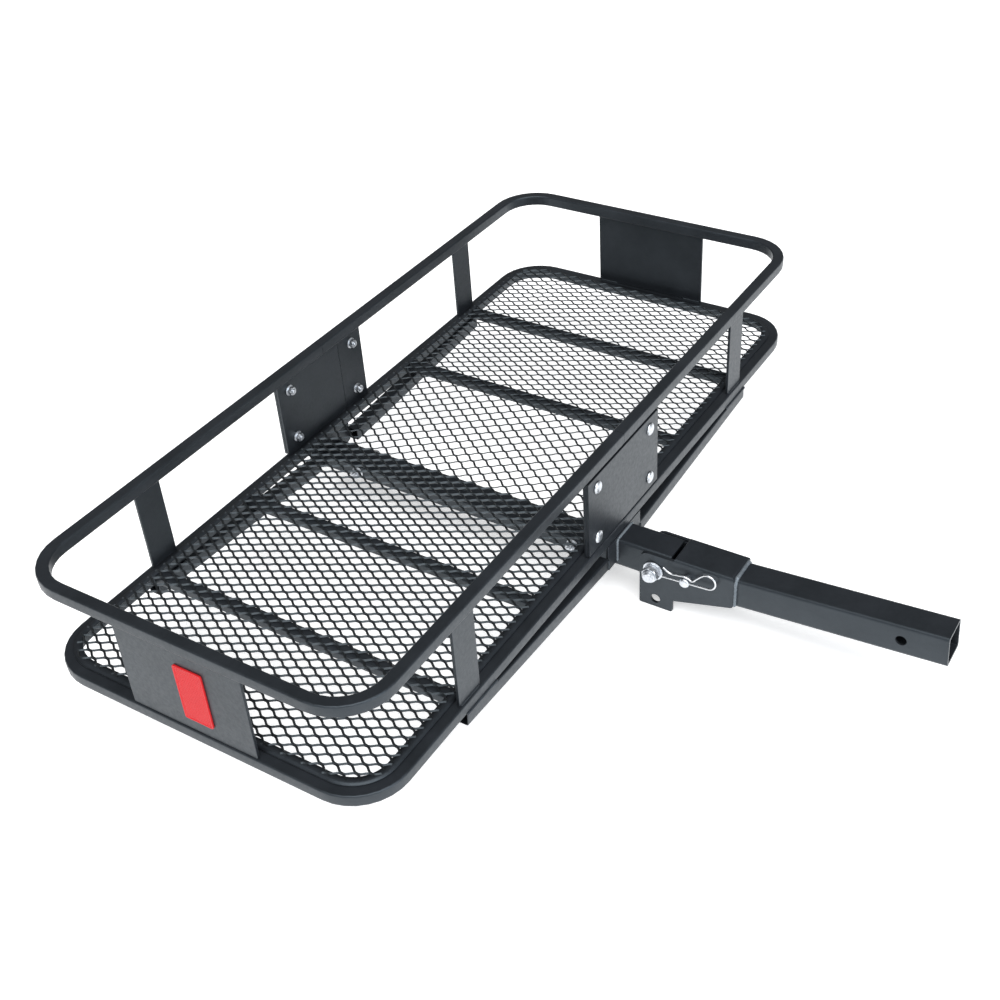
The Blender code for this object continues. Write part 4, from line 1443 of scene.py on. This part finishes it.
@dataclass
class Reflectors:
    """Moulded side reflectors: a rimmed lens with a field of small prisms."""

    finishes: Finishes
    rim: float = 0.0022
    floor: float = 0.0006
    pitch: float = 0.0031
    prism: float = 0.0006
    prism_share: float = 0.47
    prism_tip: float = 0.0001
    slope: float = 0.0006
    corner: float = 0.004
    least_corner: float = 0.0008
    edge: float = 0.0005
    corner_steps: int = 5

    def lens(self, low: Vector, high: Vector, side: int) -> bmesh.types.BMesh:
        """The rimmed slab of the lens, its face sunk inside the rim.

        Args:
            low: the low corner of the reflector's box.
            high: its high corner.
            side: the way it faces, -1 or 1 along X.

        Returns:
            The slab.
        """
        shape = bmesh.new()
        thick = high.x - low.x
        outline = []
        half_y, half_z = (high.y - low.y) / 2, (high.z - low.z) / 2
        for quarter, (y, z) in enumerate(((1, 1), (-1, 1), (-1, -1), (1, -1))):
            for step in range(self.corner_steps + 1):
                turn = math.pi / 2 * (quarter + step / self.corner_steps)
                outline.append((y, z, math.cos(turn), math.sin(turn)))
        rings = []
        steps = ((0, 0), (0, thick - self.edge), (self.edge, thick), (self.rim, thick))
        for inset, height in (*steps, (self.rim + self.slope, thick - self.floor)):
            radius = max(self.corner - inset, self.least_corner)
            ring = []
            for y, z, c, s in outline:
                spot = Vector((
                    height,
                    y * (half_y - inset - radius) + radius * c,
                    z * (half_z - inset - radius) + radius * s,
                ))
                ring.append(shape.verts.new(spot))
            rings.append(ring)
        for lower, upper in zip(rings, rings[1:]):
            for i in range(len(lower)):
                shape.faces.new((lower[i - 1], lower[i], upper[i], upper[i - 1]))
        shape.faces.new(rings[0])
        shape.faces.new(rings[-1])
        seat = low.x if side > 0 else high.x
        centre = (low + high) / 2
        shape.transform(Matrix.Translation((seat, centre.y, centre.z)) @ Matrix.Diagonal((side, 1, 1, 1)))
        return shape

    def prism_tree(self) -> Tree:
        """Builds the tree that stands a prism on every cell of a grid.

        Returns:
            The tree.
        """
        tree = Tree("reflector_prisms", self.finishes.lens)
        width, height = map(tree.value, ("Width", "Height"))
        across, up = (tree.value(name, "NodeSocketInt") for name in ("Across", "Up"))
        size, rise = map(tree.value, ("Prism Radius", "Prism Rise"))
        grid = tree.node(
            "MeshGrid", {"Size X": width, "Size Y": height, "Vertices X": across, "Vertices Y": up}
        ).outputs["Mesh"]
        cone = tree.node(
            "MeshCone",
            {"Vertices": 6, "Radius Top": self.prism_tip, "Radius Bottom": size, "Depth": rise},
            fill_type="NGON",
        ).outputs["Mesh"]
        cells = tree.node("InstanceOnPoints", {"Points": grid, "Instance": cone}).outputs[0]
        tree.finish(cells)
        return tree

    def build(self) -> None:
        """Makes both reflectors."""
        tree = self.prism_tree()
        for name, side in (("left", -1), ("right", 1)):
            low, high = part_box(f"reflector_{name}")
            inner_y = high.y - low.y - 2 * self.rim - self.pitch
            inner_z = high.z - low.z - 2 * self.rim - self.pitch
            across, up = int(inner_y / self.pitch) + 1, int(inner_z / self.pitch) + 1
            values = {
                "Width": (across - 1) * self.pitch,
                "Height": (up - 1) * self.pitch,
                "Across": across,
                "Up": up,
                "Prism Radius": self.pitch * self.prism_share,
                "Prism Rise": self.prism,
            }
            prisms = tree.make(f"prisms_{name}", bpy.data.meshes.new("prisms"), values)
            seat = (low.x if side < 0 else high.x) - side * self.floor
            centre = (low + high) / 2
            turn = Matrix(((0, 0, side, seat), (1, 0, 0, centre.y), (0, 1, 0, centre.z), (0, 0, 0, 1)))
            prisms.data.transform(turn)
            shape = self.lens(low, high, side)
            shape.from_mesh(prisms.data)
            bpy.data.objects.remove(prisms)
            piece = new_object(f"reflector_lens_{name}", mesh_of(f"reflector_lens_{name}", shape, 30.0))
            place(piece, Body.CARRIER, Slot.REFLECTOR, self.finishes.lens, f"reflector_{name}")


# ---------------------------------------------------------------- studio


@dataclass(frozen=True)
class Softbox:
    """A square soft light: where it hangs from the middle of the object, its side and its power."""

    name: str
    spot: tuple[float, float, float]
    size: float
    power: float
    tint: Colour = (0.86, 0.93, 1.0)


@dataclass
class Studio:
    """Floor, lights and the camera."""

    floor_gap: float = 0.001
    floor_reach: float = 120.0
    camera_place: tuple[float, float, float] = (-1.472, -0.334, 1.351)
    azimuth: float = -55.58
    elevation: float = 37.33
    roll: float = -4.20
    lens: float = 49.62
    sensor: float = 36.0
    sky: Colour = (0.94, 0.97, 1.0)
    sky_strength: float = 0.18
    sun_from: tuple[float, float, float] = (-0.35, -0.30, 1.0)
    sun_strength: float = 3.4
    sun_spread: float = 65.0
    boxes: tuple[Softbox, ...] = (
        Softbox("front_softbox", (-0.8, -3.4, 1.0), 2.4, 66.0),
        Softbox("side_softbox", (-3.6, 0.4, 1.0), 2.4, 12.0),
    )

    def build_floor(self) -> None:
        """Lays the floor under the lowest point."""
        shape = bmesh.new()
        bmesh.ops.create_grid(shape, x_segments=2, y_segments=2, size=self.floor_reach)
        mesh = bpy.data.meshes.new("studio_floor")
        shape.transform(Matrix.Translation((0, 0, CAD_BOX[0].z - self.floor_gap)))
        shape.to_mesh(mesh)
        shape.free()
        floor = new_object("studio_floor", mesh)
        mesh.materials.append(StudioFloor("floor_paper").build())

    def hang(self, data: bpy.types.Light, spot: Vector) -> None:
        """Hangs a light, aimed at the middle of the object.

        Args:
            data: the light.
            spot: where it hangs from that middle.
        """
        lamp = bpy.data.objects.new(data.name, data)
        lamp.location = (CAD_BOX[0] + CAD_BOX[1]) / 2 + spot
        lamp.rotation_euler = (-spot).to_track_quat("-Z", "Y").to_euler()
        bpy.context.scene.collection.objects.link(lamp)

    def build_lights(self) -> None:
        """Hangs a wide overhead light and the softboxes in a dim, faintly blue room."""
        overhead = bpy.data.lights.new("overhead", "SUN")
        overhead.energy = self.sun_strength
        overhead.angle = math.radians(self.sun_spread)
        self.hang(overhead, 3 * Vector(self.sun_from))
        for box in self.boxes:
            data = bpy.data.lights.new(box.name, "AREA")
            data.shape = "SQUARE"
            data.size = box.size
            data.energy = box.power
            data.color = box.tint
            self.hang(data, Vector(box.spot))
        world = bpy.data.worlds.new("dim_room")
        world.use_nodes = True
        background = world.node_tree.nodes["Background"]
        background.inputs["Color"].default_value = (*self.sky, 1)
        background.inputs["Strength"].default_value = self.sky_strength
        bpy.context.scene.world = world
        bpy.context.scene.view_settings.view_transform = "Standard"

    def build_camera(self) -> None:
        """Stands the camera at the wanted angle."""
        turn, rise, roll = (math.radians(angle) for angle in (self.azimuth, self.elevation, self.roll))
        back = Vector((math.sin(turn) * math.cos(rise), -math.cos(turn) * math.cos(rise), math.sin(rise)))
        level = Vector((0, 0, 1)).cross(back).normalized()
        up = back.cross(level)
        right = level * math.cos(roll) + up * math.sin(roll)
        pose = Matrix((right, back.cross(right), back)).transposed().to_4x4()
        pose.translation = Vector(self.camera_place)
        data = bpy.data.cameras.new("camera")
        data.lens = self.lens
        data.sensor_width = self.sensor
        data.clip_start = 0.01
        camera = bpy.data.objects.new("camera", data)
        camera.matrix_world = pose
        bpy.context.scene.collection.objects.link(camera)
        bpy.context.scene.camera = camera

    def build(self) -> None:
        """Sets up the whole studio."""
        self.build_floor()
        self.build_lights()
        self.build_camera()


def main() -> None:
    """Builds every sub-assembly, then the studio."""
    logging.basicConfig(level=logging.INFO, format="%(name)s: %(message)s")
    finishes = Finishes.make()
    fasteners = Fasteners(finishes)
    CoatedSteel(finishes).build()
    ExpandedMetal(finishes).build()
    SheetBorder(finishes).build()
    Welds(finishes).build()
    SpliceBolts(fasteners).build()
    CrossBolts(fasteners).build()
    Lock(finishes).build()
    Reflectors(finishes).build()
    Studio().build()


if __name__ == "__main__":
    main()
